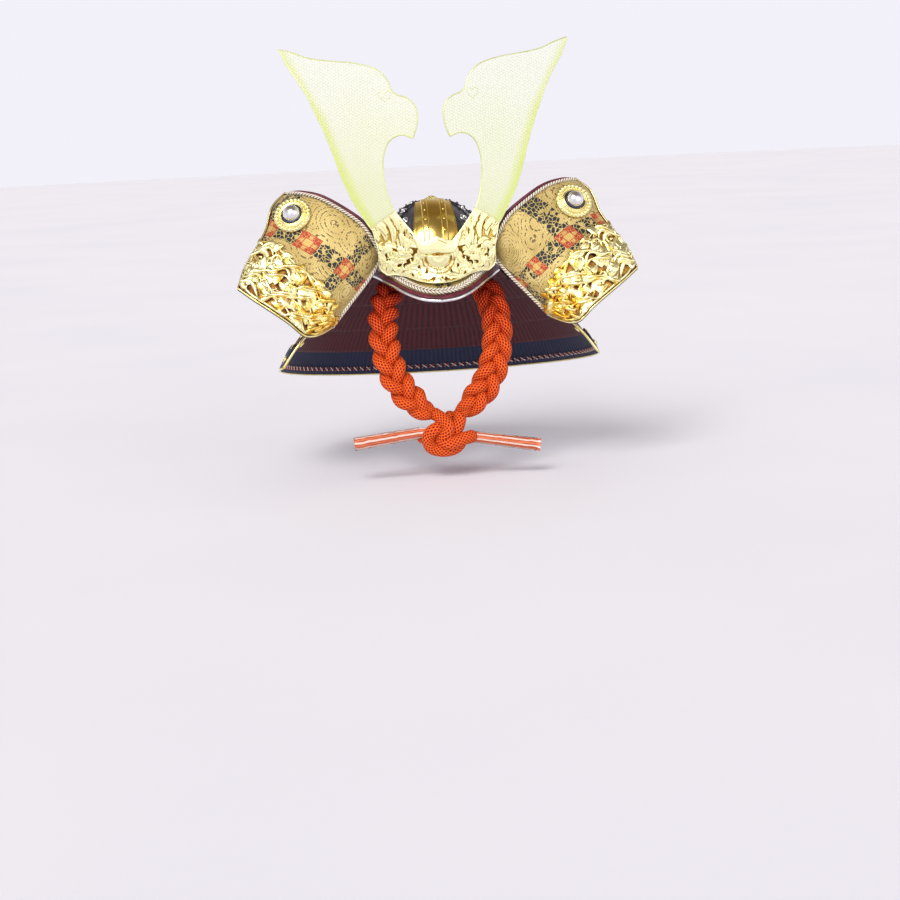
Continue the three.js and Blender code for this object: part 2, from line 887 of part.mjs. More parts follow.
// Chin cord: a ring inside the band on each side holds a thick plait that runs under the chin
// to the knot, from which two sleeved free ends stand out sideways.
for (const [tag, side] of [
  ["left", -1],
  ["right", 1],
]) {
  const hang = mirrored(side, V(...braid_route[0]));
  const ring_profile = [];
  for (let k = 0; k < 6; k++) {
    const turn = rad(60 * k);
    const ring_out = ring_radius - ring_wire + ring_wire * Math.cos(turn);
    ring_profile.push([ring_out, ring_wire * Math.sin(turn)]);
  }
  const wall = Math.sqrt(bowl_inner ** 2 - hang.y ** 2);
  const ring_x = side * (wall - ring_radius - air);
  const ring_place = V(ring_x, hang.y, hang.z + ring_radius + air);
  turned("ring_" + tag, ring_profile, 16, ring_place, V(0, 1, 0), gilt);

  const braid = braid_route.map((p) => mirrored(side, V(...p)));
  tube("braid_" + tag, braid, cord_width / 2, 12, vermilion);

  const tail = (side < 0 ? tail_left_route : tail_right_route).map((p) => V(...p));
  tube("tail_" + tag, tail, tail_width / 2, 10, sleeve);
}
const knot_profile = [];
for (let k = 0; k <= 8; k++) {
  const turn = rad(22.5 * k);
  const swell = Math.sin(turn) ** 0.8;
  knot_profile.push([swell, -Math.cos(turn)]);
}
knot_profile[0][0] = 0;
knot_profile[8][0] = 0;
turned("knot", knot_profile, 14, V(0, 0, 0), V(0, 0, 1), vermilion);
const knot = group.children[group.children.length - 1];
knot.geometry.scale(knot_width / 2, knot_depth / 2, knot_height / 2);
knot.geometry.translate(...knot_place);

group.position.z = -bowl_inner * crown_rise;

export default group;
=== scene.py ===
from math import atan, atan2, cos, degrees, hypot, pi, radians, sin, sqrt, tau
import bmesh
import bpy
from mathutils import Matrix, Vector


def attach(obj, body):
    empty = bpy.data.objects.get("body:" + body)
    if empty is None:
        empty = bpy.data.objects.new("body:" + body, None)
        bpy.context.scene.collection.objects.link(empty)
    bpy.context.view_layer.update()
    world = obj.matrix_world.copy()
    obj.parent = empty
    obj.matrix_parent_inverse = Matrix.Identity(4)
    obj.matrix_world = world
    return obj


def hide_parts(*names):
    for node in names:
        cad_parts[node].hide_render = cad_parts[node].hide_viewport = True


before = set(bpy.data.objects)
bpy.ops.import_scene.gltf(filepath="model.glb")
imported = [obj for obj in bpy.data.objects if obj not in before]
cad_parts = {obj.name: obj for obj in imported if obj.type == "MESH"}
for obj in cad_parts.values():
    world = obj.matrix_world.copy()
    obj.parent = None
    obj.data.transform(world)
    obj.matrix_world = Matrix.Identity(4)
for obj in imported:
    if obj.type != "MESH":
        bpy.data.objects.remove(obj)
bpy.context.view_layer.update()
scene = bpy.context.scene

# Studio. The helmet is seen from the front, a little above its brow, through a short
# telephoto lens, under soft light from above and in front, over a plain pale floor.
camera_data = bpy.data.cameras.new("studio_camera")
camera_data.sensor_width = 36
camera_data.lens = 66.8
camera = bpy.data.objects.new("studio_camera", camera_data)
scene.collection.objects.link(camera)
scene.camera = camera
yaw, tilt, roll = (radians(angle) for angle in (3.33, -10.7, -2.75))
ahead = Vector((sin(yaw) * cos(tilt), cos(yaw) * cos(tilt), sin(tilt)))
level = Vector((cos(yaw), -sin(yaw), 0))
over = level.cross(ahead)
across = level * cos(roll) + over * sin(roll)
upright = over * cos(roll) - level * sin(roll)
camera.matrix_world = (
    Matrix.Translation((-0.0649, -1.195, 0.046))
    @ Matrix((across, upright, -ahead)).transposed().to_4x4()
)
scene.view_settings.view_transform = "Standard"


def linear(code):
    """The linear colour of an sRGB hex code."""
    parts = [int(code[k : k + 2], 16) / 255 for k in (1, 3, 5)]
    return [c / 12.92 if c <= 0.04045 else ((c + 0.055) / 1.055) ** 2.4 for c in parts] + [1]


def add(tree, kind, inputs=None, stops=(), **settings):
    """Adds a node with its settings; an input is a value, a socket, or a node's first output.
    Stops are the places and hex colours of a colour ramp."""
    new = tree.nodes.new("ShaderNode" + kind)
    for name, value in settings.items():
        setattr(new, name, value)
    if stops:
        while len(new.color_ramp.elements) < len(stops):
            new.color_ramp.elements.new(0.5)
        for element, (place, code) in zip(new.color_ramp.elements, stops):
            element.position = place
            element.color = linear(code)
    for socket, value in (inputs or {}).items():
        if isinstance(value, bpy.types.Node):
            value = value.outputs[0]
        if isinstance(value, bpy.types.NodeSocket):
            tree.links.new(value, new.inputs[socket])
        else:
            new.inputs[socket].default_value = value
    return new


def new_material(name, inputs):
    """A material with its shader's plain values set, and its node tree."""
    made = bpy.data.materials.new(name)
    made.use_nodes = True
    shader = made.node_tree.nodes["Principled BSDF"]
    for socket, value in inputs.items():
        shader.inputs[socket].default_value = value
    return made, made.node_tree, shader


def wire(tree, source, shader, socket):
    """Links a node's first output, or a socket, to a shader's socket."""
    output = source.outputs[0] if isinstance(source, bpy.types.Node) else source
    tree.links.new(output, shader.inputs[socket])


def clouded(name, inputs, scale, detail, stops, bump=None, grain=None):
    """A material whose colour wanders between its stops in soft clouds. Its bump, a height in
    metres and a strength, follows the clouds, or a finer grain where one is given."""
    made, tree, shader = new_material(name, inputs)
    place = add(tree, "TexCoord").outputs["Object"]
    cloud = add(tree, "TexNoise", {"Vector": place, "Scale": scale, "Detail": detail})
    wire(tree, add(tree, "ValToRGB", {"Fac": cloud}, stops=stops), shader, "Base Color")
    if grain:
        cloud = add(tree, "TexNoise", {"Vector": place, "Scale": grain, "Detail": 2.0})
    if bump:
        lifted = {"Height": cloud, "Distance": bump[0], "Strength": bump[1]}
        wire(tree, add(tree, "Bump", lifted), shader, "Normal")
    return made


world = bpy.data.worlds.new("studio_room")
world.use_nodes = True
scene.world = world
room = world.node_tree
height = add(room, "SeparateXYZ", {"Vector": add(room, "TexCoord").outputs["Generated"]})
walls = add(
    room, "ValToRGB", {"Fac": height.outputs["Z"]},
    stops=((0.0, "#F8F6FF"), (0.3, "#F8F6FF"), (0.62, "#C4BEBC"), (0.9, "#85786A")),
)
room.links.new(walls.outputs[0], room.nodes["Background"].inputs["Color"])
room.nodes["Background"].inputs["Strength"].default_value = 0.95

for name, place, strength, width, tint in [
    ("key_light", (-0.45, -1.0, 1.1), 1.9, 30, "#FFFCF6"),
    ("fill_light", (0.8, -1.0, 0.5), 0.55, 50, "#F8F8FF"),
]:
    lamp_data = bpy.data.lights.new(name, "SUN")
    lamp_data.energy = strength
    lamp_data.angle = radians(width)
    lamp_data.color = linear(tint)[:3]
    lamp = bpy.data.objects.new(name, lamp_data)
    scene.collection.objects.link(lamp)
    aim = (-Vector(place)).to_track_quat("-Z", "Y")
    lamp.matrix_world = Matrix.Translation(place) @ aim.to_matrix().to_4x4()

floor_mesh = bmesh.new()
bmesh.ops.create_circle(floor_mesh, cap_ends=True, segments=64, radius=12)
bmesh.ops.translate(floor_mesh, verts=floor_mesh.verts, vec=(0, 0, -0.19))
floor_data = bpy.data.meshes.new("studio_floor")
floor_mesh.to_mesh(floor_data)
floor_mesh.free()
floor = bpy.data.objects.new("studio_floor", floor_data)
scene.collection.objects.link(floor)
# Matt paper, faintly mottled.
paper = clouded("matt_paper", {"Roughness": 0.9}, 3, 3, ((0.3, "#F1F2FC"), (0.7, "#F5F6FF")))
floor_data.materials.append(paper)

# Bowl. Sixteen iron plates are riveted side by side and lacquered black outside; every plate
# is a little hollow between its turned-up ribs, and a plain band below carries the rest.
mm = 0.001
# Seams closer than this are welded.
weld = 0.005 * mm
bowl_radius = 41
bowl_height = 44
bowl_wall = 1.4
bowl_inner = bowl_radius - bowl_wall
band_height = 7
air = 0.35
crown_rise = bowl_height / bowl_radius
# Heights are counted from the mouth of the bowl; the frame's origin is inside the crown.
mouth = bowl_inner * crown_rise


def at(x, y, z):
    """A place counted in millimetres from the mouth of the bowl, in the frame."""
    return Vector((x, y, z - mouth)) * mm


def cover(bm, cells, size, surface, tag=0):
    """Lays a grid on a surface given over u and v from 0 to 1, with a UV map of that size."""
    made = bmesh.ops.create_grid(bm, x_segments=cells[0], y_segments=cells[1], size=0.5)
    layer = bm.loops.layers.uv.verify()
    share = {vert: (vert.co.x + 0.5, vert.co.y + 0.5) for vert in made["verts"]}
    faces = {face for vert in made["verts"] for face in vert.link_faces}
    for face in faces:
        face.material_index = tag
        for loop in face.loops:
            u, v = share[loop.vert]
            loop[layer].uv = (u * size[0], v * size[1])
    for vert, (u, v) in share.items():
        vert.co = surface(u, v)
    return made["verts"], faces


def close(bm, verts):
    """Welds the seams of what is given and turns its faces outwards."""
    faces = list({face for vert in verts for face in vert.link_faces})
    bmesh.ops.remove_doubles(bm, verts=list(verts), dist=weld)
    bmesh.ops.recalc_face_normals(bm, faces=[face for face in faces if face.is_valid])


def piece(name, bm, materials, nodes=(), smooth=True):
    """Makes a finished piece that rides on the helmet and stands for its plain solids."""
    data = bpy.data.meshes.new(name)
    bm.to_mesh(data)
    bm.free()
    for face in data.polygons:
        face.use_smooth = smooth
    for material in materials:
        data.materials.append(material)
    made = bpy.data.objects.new(name, data)
    scene.collection.objects.link(made)
    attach(made, "root")
    if nodes:
        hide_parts(*nodes)
    return made


# Black lacquer, brushed on and polished: a clear deep gloss with a trace of polishing marks.
lacquer = clouded(
    "polished_black_lacquer",
    {"Roughness": 0.28, "Coat Weight": 0.6, "Coat Roughness": 0.08, "IOR": 1.5},
    90, 4, ((0.3, "#24242E"), (0.7, "#3A3A48")), (0.00006, 0.4), 600,
)

# Vermilion lacquer lines the inside of the bowl, thinner and duller than the black.
lining = clouded(
    "dull_vermilion_lacquer", {"Roughness": 0.45, "IOR": 1.5}, 60, 5, ((0.3, "#5E1410"), (0.7, "#7E2018"))
)

plates = 16
plate_turn = 360 / plates


def plate_lift(turn, tilt):
    """How far the plates stand out from the round, with a turned-up rib at each joint."""
    off = abs((turn / plate_turn + 0.5) % 1 - 0.5) * 2
    fade = min(tilt / 20, 1)
    return (0.75 * max(0, off * 9 - 8) + 0.25 * off) * fade


def on_bowl(turn, tilt, lift):
    """A point over the bowl: turn from the front, tilt from the crown, both in degrees."""
    side, down = radians(turn), radians(tilt)
    out = (bowl_radius + lift) * sin(down)
    up = (bowl_radius + lift) * crown_rise * cos(down)
    return at(out * sin(side), -out * cos(side), up)


bm = bmesh.new()
verts, _ = cover(
    bm,
    (plates * 18, 40),
    (1, 1),
    lambda u, v: on_bowl(360 * u, 90 * v, plate_lift(360 * u, 90 * v) - 0.3),
)
close(bm, verts)
verts, _ = cover(bm, (96, 24), (1, 1), lambda u, v: on_bowl(360 * u, 90 * v, -bowl_wall), 1)
close(bm, verts)
inner_faces = {face for vert in verts if vert.is_valid for face in vert.link_faces}
bmesh.ops.reverse_faces(bm, faces=list(inner_faces))
rims = [edge for edge in bm.edges if edge.is_boundary]
bmesh.ops.bridge_loops(bm, edges=rims)
piece("bowl_plates", bm, [lacquer, lining], ["bowl"])

bm = bmesh.new()
band_profile = [
    (bowl_inner, -air - band_height),
    (bowl_radius - 0.5, -air - band_height),
    (bowl_radius, -air - band_height + 0.5),
    (bowl_radius, -air - 1.6),
    (bowl_radius + 0.5, -air - 1.2),
    (bowl_radius + 0.5, -air - 0.4),
    (bowl_radius, -air),
    (bowl_inner, -air),
]


def settle(part, bm):
    """Welds a small part, turns its faces outwards and adds it to its piece."""
    bmesh.ops.remove_doubles(part, verts=part.verts, dist=weld)
    bmesh.ops.recalc_face_normals(part, faces=part.faces)
    data = bpy.data.meshes.new("part")
    part.to_mesh(data)
    part.free()
    bm.from_mesh(data, face_normals=False, vertex_normals=False)
    bpy.data.meshes.remove(data)


def turned(bm, profile, steps, centre, axis, tag=0):
    """Spins a profile of radius and height round an axis through a place."""
    part = bmesh.new()
    turn = Vector((0, 0, 1)).rotation_difference(axis).to_matrix().to_4x4()
    put = Matrix.Translation(centre) @ turn
    path = [part.verts.new(put @ (Vector((r, 0, h)) * mm)) for r, h in profile]
    edges = [part.edges.new(pair) for pair in zip(path, path[1:])]
    bmesh.ops.spin(part, geom=path + edges, cent=centre, axis=axis, angle=tau, steps=steps, use_merge=True)
    for face in part.faces:
        face.material_index = tag
    settle(part, bm)


turned(bm, band_profile + band_profile[:1], 72, at(0, 0, 0), Vector((0, 0, 1)))
piece("bowl_band_ring", bm, [lacquer], ["bowl_band"])

# Rivets. Every plate has a column of silvered domes, each set in a raised ring washer, and a
# row of pointed black heads closes each joint; they shrink towards the crown with the plates.
silver = clouded(
    "polished_silver_plate", {"Metallic": 1.0, "Roughness": 0.24},
    260, 4, ((0.35, "#D9DAE0"), (0.65, "#F6F5F4")), (0.00003, 0.2),
)

# Pale gilding, burnished on brass: bright lemon gold that turns to amber in its hollows.
gilt = clouded(
    "burnished_pale_gilding", {"Metallic": 1.0, "Roughness": 0.22},
    120, 5, ((0.3, "#EBCF72"), (0.6, "#FAF0B2")), (0.00008, 0.5), 900,
)


def footing(surface, a, b, low, high):
    """A place at the lower lift over a surface, and the direction that stands off from there."""
    seat = surface(a, b, low)
    return seat, (surface(a, b, high) - seat).normalized()


def dome(bm, centre, axis, radius, rise, tag=0, rings=4, steps=12):
    """A round head with its flat foot a little sunk in what carries it."""
    profile = [(0, rise)]
    for k in range(1, rings + 1):
        bow = radians(90 * k / rings)
        profile.append((radius * sin(bow), rise * cos(bow)))
    profile += [(radius, -0.3), (0, -0.3)]
    turned(bm, profile, steps, centre, axis, tag)


def clear_of_plate(turn, tilt):
    """Whether a rivet keeps off the gilt strip down the front."""
    seat = on_bowl(turn, tilt, 0) / mm
    return seat.y > 0 or abs(seat.x) > 13.5 + 5 * sin(radians(tilt))


bm = bmesh.new()
small = bmesh.new()
for plate in range(plates):
    turn = plate * plate_turn
    for step in range(6):
        rivet_tilt = 83 - step * 12.5
        if not clear_of_plate(turn, rivet_tilt):
            continue
        size = 0.62 + 0.38 * sin(radians(rivet_tilt))
        seat, axis = footing(on_bowl, turn, rivet_tilt, -0.25, 3)
        dome(bm, seat, axis, 1.75 * size, 2.7 * size, rings=5, steps=14)
        ring = [(2.45, -0.2), (3.35, -0.2), (3.4, 0.4), (3.1, 0.85), (2.7, 0.8), (2.45, 0.3), (2.45, -0.2)]
        ring = [(r * size, h * size) for r, h in ring]
        turned(bm, ring, 18, seat, axis)
    joint = turn + plate_turn / 2
    for step in range(10):
        rivet_tilt = 86 - step * 7.5
        if not clear_of_plate(joint, rivet_tilt):
            continue
        size = 0.6 + 0.4 * sin(radians(rivet_tilt))
        seat, axis = footing(on_bowl, joint, rivet_tilt, 0.5 * min(rivet_tilt / 20, 1), 3)
        dome(small, seat, axis, 1.15 * size, 1.6 * size, rings=4, steps=10)
piece("rivets", bm, [silver])
piece("joint_rivets", small, [lacquer])

# Crown fitting. A small gilt flower of scalloped rings closes the hole at the crown.
bm = bmesh.new()
crown_radius = 6.2
crown_height = 3.4
crown_top = at(0, 0, bowl_height + air)
for ring_radius, foot, rise, scallops, bulge in [
    (crown_radius - 0.4, -0.6, 0.8, 16, 0.6),
    (crown_radius * 0.8, -0.1, 0.9, 16, 0.5),
    (crown_radius * 0.58, 0.5, 1.0, 12, 0.4),
]:

    def petal(u, v, ring_radius=ring_radius, foot=foot, rise=rise, scallops=scallops, bulge=bulge):
        turn = tau * u
        edge = ring_radius + bulge * abs(sin(turn * scallops / 2))
        bow = radians(140 * v)
        r = edge * (sin(bow) if v < 0.65 else 1 - (v - 0.65) * 2)
        h = foot + rise * cos(bow)
        return crown_top + Vector((r * cos(turn), r * sin(turn), h)) * mm

    verts, _ = cover(bm, (scallops * 8, 8), (1, 1), petal)
    close(bm, verts)
dome(bm, crown_top + Vector((0, 0, 1.1 * mm)), Vector((0, 0, 1)), 2.6, 1.1, rings=5, steps=24)
piece("crown_flower", bm, [gilt], ["crown_fitting"])

# Front plate. A broad gilt strip is laid over the front of the bowl. Two flat ribs are riveted
# down it, and pointed leaves are chased at their feet; it is a little narrower at the crown.
plate_half_width = 16
plate_taper = 5
rib_place = 6.4
rib_half = 1.9

# Deep amber gilding, rougher than the plate: left unburnished round the rivets; on the crest cup it is
# painted shade in the cup's opening.
amber = clouded(
    "sunk_amber_gilding", {"Metallic": 0.9, "Roughness": 0.45},
    240, 5, ((0.35, "#7A4A12"), (0.65, "#D9A63C")), (0.0004, 0.7),
)

# Mirror gilding on the front plate: deep yellow gold polished until it shows the room.
mirror_gilt = clouded(
    "mirror_polished_gilding", {"Metallic": 1.0, "Roughness": 0.17},
    80, 4, ((0.3, "#EFC250"), (0.65, "#F8DC84")), (0.0002, 0.3),
)


def on_front(x, tilt, lift):
    r = bowl_radius + air + lift
    around = sqrt(r * r - x * x)
    down = radians(tilt)
    return at(x, -around * sin(down), around * crown_rise * cos(down))


def front_plate(u, v, lift=0.0):
    tilt = 13 + 77 * v
    half = plate_half_width - plate_taper * (1 - sin(radians(tilt)))
    x = (2 * u - 1) * half
    rib = min(max((rib_half - abs(abs(x) - rib_place)) / 0.45, 0), 1)
    edge = max(0, abs(x) - half + 1.0)
    return on_front(x, tilt, 0.5 + 0.75 * rib + 0.35 * edge + lift)


bm = bmesh.new()
verts, faces = cover(bm, (140, 48), (1, 1), front_plate)
bmesh.ops.recalc_face_normals(bm, faces=list(faces))
bmesh.ops.solidify(bm, geom=list(faces), thickness=0.5 * mm)
for side in (-1, 1):
    for k in range(5):
        rivet_tilt = 22 + 12 * k
        seat, axis = footing(on_front, side * rib_place, rivet_tilt, 1.1, 4)
        turned(bm, [(1.2, 0), (2.1, 0), (2.0, 0.35), (1.3, 0.35), (1.2, 0)], 16, seat, axis, 1)
        dome(bm, seat, axis, 1.2, 1.0, rings=3, steps=12)
    for x, long in ((rib_place, 12), (rib_place - 4.4, 8), (rib_place + 4.6, 8)):

        def foot_leaf(u, v, x=x, long=long):
            wide = 2.5 * sin(pi * min(1, v * 0.9 + 0.1)) ** 0.8
            puff = 0.8 * sin(pi * v) * (1 - (2 * u - 1) ** 2) ** 0.5
            return on_front(side * (x + (2 * u - 1) * wide), 79 - 1.3 * long * v, 1.0 + puff)

        cover(bm, (8, 10), (1, 1), foot_leaf)
bmesh.ops.recalc_face_normals(bm, faces=list(bm.faces))
piece("front_plate", bm, [mirror_gilt, amber], ["front_gilt_plate"])

# Visor. A curved peak covered in gold brocade, bound at its edge with dark red leather; a
# twisted cream and brown cord hides the seam and a silvered wire closes the rim.
visor_depth = 25
visor_slope = 0.82
visor_half_angle = 66
visor_wall = 1.2
leather_width = 1.6
rim_radius = 1.15
visor_shares = [1, 0.95, 0.81, 0.65, 0.5, 0.4, 0.32, 0.28]


def read(table, share):
    """A value read smoothly from a table whose entries are evenly spaced from 0 to 1."""
    last = len(table) - 1
    spot = min(max(share, 0), 1) * last
    i = min(int(spot), last - 1)
    f = spot - i
    before = table[i - 1] if i > 0 else table[i] * 2 - table[i + 1]
    after = table[i + 2] if i + 2 <= last else table[i + 1] * 2 - table[i]
    lift = (table[i + 1] - before) / 2
    land = (after - table[i]) / 2
    f2, f3 = f * f, f * f * f
    return (
        table[i] * (2 * f3 - 3 * f2 + 1)
        + lift * (f3 - 2 * f2 + f)
        + table[i + 1] * (3 * f2 - 2 * f3)
        + land * (f3 - f2)
    )


fall = atan(visor_slope)


def visor_reach(turn):
    return visor_depth * read(visor_shares, abs(turn) / visor_half_angle)


def on_visor(turn, out, lift):
    r = bowl_radius + air + out + lift * sin(fall)
    z = -1.2 - out * visor_slope + lift * cos(fall)
    return at(r * sin(radians(turn)), -r * cos(radians(turn)), z)


# Gold brocade, woven of flat gilt thread: dull satin gold with broken dark cloud lines,
# a band of dark pebbles with red four-petalled flowers on it, and others that cross it.
brocade, tree, shader = new_material(
    "woven_gold_brocade",
    {"Roughness": 0.5, "Metallic": 0.35, "Sheen Weight": 0.25, "Sheen Roughness": 0.4},
)
cloth = add(tree, "TexCoord").outputs["UV"]
split = add(tree, "SeparateXYZ", {"Vector": cloth})
down = split.outputs["Y"]
along = add(tree, "Math", {0: down, 1: -0.3, 2: split.outputs["X"]}, operation="MULTIPLY_ADD")
# Flowers lie 22 mm apart on one band, and a band crosses it at every second flower.
flower_gap = 22.0
band_half = 4.4
flower_half = 4.9
petal_place = 3.5
heart_half = 1.6
to_flower = add(tree, "Math", {0: along, 1: flower_gap / 2}, operation="ADD")
to_flower = add(tree, "Math", {0: to_flower, 1: flower_gap, 2: 0.0}, operation="WRAP")
to_flower = add(tree, "Math", {0: to_flower, 1: flower_gap / 2}, operation="SUBTRACT")
to_flower = add(tree, "Math", {0: to_flower}, operation="ABSOLUTE")
to_cross = add(tree, "Math", {0: along, 1: flower_gap}, operation="PINGPONG")
aside = add(tree, "Math", {0: down}, operation="ABSOLUTE")
narrow = add(tree, "Math", {0: to_cross, 1: aside}, operation="MINIMUM")
band = add(tree, "Math", {0: narrow, 1: band_half}, operation="LESS_THAN")
from_flower = add(tree, "Math", {0: to_flower, 1: aside}, operation="MAXIMUM")
flower = add(tree, "Math", {0: from_flower, 1: flower_half}, operation="LESS_THAN")
# Pebbles are about 2 mm across, with gold threads left between them.
pebble = add(tree, "TexVoronoi", {"Vector": cloth, "Scale": 0.5}, feature="DISTANCE_TO_EDGE")
inside = add(tree, "Math", {0: pebble, 1: 0.07}, operation="GREATER_THAN")
tone = add(tree, "TexVoronoi", {"Vector": cloth, "Scale": 0.5})
some = add(tree, "SeparateColor", {"Color": tone.outputs["Color"]})
dark = add(tree, "Math", {0: some.outputs["Red"], 1: 0.12}, operation="GREATER_THAN")
pebbles = add(tree, "Math", {0: inside, 1: dark}, operation="MULTIPLY")
pebbles = add(tree, "Math", {0: pebbles, 1: band}, operation="MULTIPLY")
# Cloud lines run in broken rings 1.6 mm apart round centres some 15 mm apart.
rings = add(tree, "TexVoronoi", {"Vector": cloth, "Scale": 0.065})
ring = add(tree, "Math", {0: rings, 1: 0.052}, operation="PINGPONG")
line = add(tree, "Math", {0: ring, 1: 0.014}, operation="LESS_THAN")
breaks = add(tree, "TexNoise", {"Vector": cloth, "Scale": 0.8, "Detail": 1.0})
kept = add(tree, "Math", {0: breaks, 1: 0.5}, operation="GREATER_THAN")
lines = add(tree, "Math", {0: line, 1: kept}, operation="MULTIPLY")
ground = add(tree, "Math", {0: 1.0, 1: band}, operation="SUBTRACT")
lines = add(tree, "Math", {0: lines, 1: ground}, operation="MULTIPLY")
# The weave is drawn at 1 mm, coarser than the real thread, so that it shows.
warp = add(tree, "TexWave", {"Vector": cloth, "Scale": 0.3, "Distortion": 0.0}, bands_direction="X")
weft = add(tree, "TexWave", {"Vector": cloth, "Scale": 0.3, "Distortion": 0.0}, bands_direction="Y")
weave = add(tree, "Math", {0: warp.outputs["Fac"], 1: weft.outputs["Fac"]}, operation="MULTIPLY")
wear = add(tree, "TexNoise", {"Vector": cloth, "Scale": 0.08, "Detail": 4.0})
shade = add(tree, "Math", {0: wear, 1: 0.7}, operation="MULTIPLY")
shade = add(tree, "Math", {0: weave, 1: 0.2, 2: shade}, operation="MULTIPLY_ADD")
gold = add(tree, "ValToRGB", {"Fac": shade}, stops=((0.2, "#A68E4C"), (0.45, "#D0B872"), (0.75, "#F2E4B0")))
drawn = add(tree, "Mix", {"Factor": lines, 6: gold, 7: linear("#6E5C38")}, data_type="RGBA")
drawn = add(tree, "Mix", {"Factor": pebbles, 6: drawn.outputs[2], 7: linear("#23282B")}, data_type="RGBA")
# Each flower is a lozenge with red petals in its corners, parted by gold threads, and a gold heart.
squares = []
for one in (to_flower, aside):
    off = add(tree, "Math", {0: one, 1: petal_place}, operation="SUBTRACT")
    squares.append(add(tree, "Math", {0: off, 1: 2.0}, operation="POWER"))
petal = add(tree, "Math", {0: squares[0], 1: squares[1]}, operation="ADD")
petal = add(tree, "Math", {0: breaks, 1: -9.0, 2: petal}, operation="MULTIPLY_ADD")
petal = add(tree, "Math", {0: petal, 1: 2.0}, operation="LESS_THAN")
threads = add(tree, "TexVoronoi", {"Vector": cloth, "Scale": 0.62}, feature="DISTANCE_TO_EDGE")
threads = add(tree, "Math", {0: threads, 1: 0.045}, operation="GREATER_THAN")
petal = add(tree, "Math", {0: petal, 1: threads}, operation="MULTIPLY")
rounds = add(tree, "Math", {0: from_flower, 1: 0.1}, operation="MULTIPLY")
rounds_dyed = ((0.0, "#D2B468"), (0.18, "#C05E34"), (0.23, "#CBA860"), (0.38, "#CC8A50"), (0.45, "#A8442A"))
bloom = add(tree, "ValToRGB", {"Fac": rounds}, stops=rounds_dyed)
bloom.color_ramp.interpolation = "CONSTANT"
heart = add(tree, "Math", {0: from_flower, 1: heart_half}, operation="GREATER_THAN")
petal = add(tree, "Math", {0: petal, 1: heart}, operation="MULTIPLY")
bloom = add(tree, "Mix", {"Factor": petal, 6: bloom, 7: linear("#B23A22")}, data_type="RGBA")
drawn = add(tree, "Mix", {"Factor": flower, 6: drawn.outputs[2], 7: bloom.outputs[2]}, data_type="RGBA")
wire(tree, drawn.outputs[2], shader, "Base Color")
raised = add(tree, "Math", {0: pebbles, 1: 0.5, 2: weave}, operation="MULTIPLY_ADD")
wire(tree, add(tree, "Bump", {"Height": raised, "Distance": 0.00022, "Strength": 0.7}), shader, "Normal")

# Maroon leather, dyed and waxed: fine grain with paler rubbed ridges.
leather, tree, shader = new_material("dyed_maroon_leather", {"Roughness": 0.48, "IOR": 1.5})
place = add(tree, "TexCoord").outputs["Object"]
hide = add(tree, "TexVoronoi", {"Vector": place, "Scale": 900.0}, feature="DISTANCE_TO_EDGE")
rub = add(tree, "TexNoise", {"Vector": place, "Scale": 150.0, "Detail": 4.0})
rubbed = add(tree, "ValToRGB", {"Fac": rub}, stops=((0.3, "#3E0818"), (0.65, "#6E1A34")))
wire(tree, rubbed, shader, "Base Color")
wire(tree, add(tree, "Bump", {"Height": hide, "Distance": 0.00025, "Strength": 0.6}), shader, "Normal")


def shell(bm, cells, size, surface, wall, tag=0, lining_tag=None):
    """A thin closed wall: its outer face is the surface at lift 0, its inner one below it."""
    part = bmesh.new()
    cover(part, cells, size, lambda u, v: surface(u, v, 0), tag)
    inner_tag = tag if lining_tag is None else lining_tag
    cover(part, cells, size, lambda u, v: surface(u, v, -wall), inner_tag)
    bmesh.ops.bridge_loops(part, edges=[edge for edge in part.edges if edge.is_boundary])
    settle(part, bm)


def visor_edge(turn):
    return visor_reach(turn) - rim_radius - air


bm = bmesh.new()


def visor_face(u, v, lift):
    turn = (2 * u - 1) * visor_half_angle
    start = visor_wall * sin(fall) if lift < 0 else 0
    return on_visor(turn, start + v * (visor_edge(turn) - start), lift)


shell(bm, (112, 10), (95, 30), visor_face, visor_wall, 0, 1)
piece("visor_brocade", bm, [brocade, lining], ["visor"])

bm = bmesh.new()


def binding(u, v, lift):
    turn = (2 * u - 1) * visor_half_angle
    puff = 0.25 * sin(pi * v)
    out = visor_edge(turn) + 0.9 - (leather_width + 0.9) * (1 - v)
    return on_visor(turn, out, air + 0.6 + puff + lift)


shell(bm, (112, 4), (95, 3), binding, 0.6)
piece("visor_binding", bm, [leather], ["visor_leather"])


def framed(route, front=None):
    """Each point of a route with a sideways and an upward direction and the length so far.
    Given a front, the sideways direction stays square to it; otherwise it never twists."""
    made = []
    walked = 0
    first = (route[1] - route[0]).normalized()
    up = front or (Vector((0, 0, 1)) if abs(first.z) < 0.8 else Vector((0, 1, 0)))
    for k, point in enumerate(route):
        ahead_of = route[min(k + 1, len(route) - 1)] - route[max(k - 1, 0)]
        along_it = ahead_of.normalized()
        side = along_it.cross(front or up).normalized()
        up = side.cross(along_it).normalized()
        if k:
            walked += (point - route[k - 1]).length
        made.append((point, side, up, walked))
    return made


def even(route, step):
    """The same route with its points the same distance apart."""
    lengths = [0]
    for a, b in zip(route, route[1:]):
        lengths.append(lengths[-1] + (b - a).length)
    count = max(2, round(lengths[-1] / step))
    made = []
    i = 0
    for k in range(count + 1):
        want = lengths[-1] * k / count
        while i < len(route) - 2 and lengths[i + 1] < want:
            i += 1
        span = max(lengths[i + 1] - lengths[i], 1e-9)
        made.append(route[i].lerp(route[i + 1], min(max((want - lengths[i]) / span, 0), 1)))
    return made


def smooth(points, count):
    return [read(points, k / count) for k in range(count + 1)]


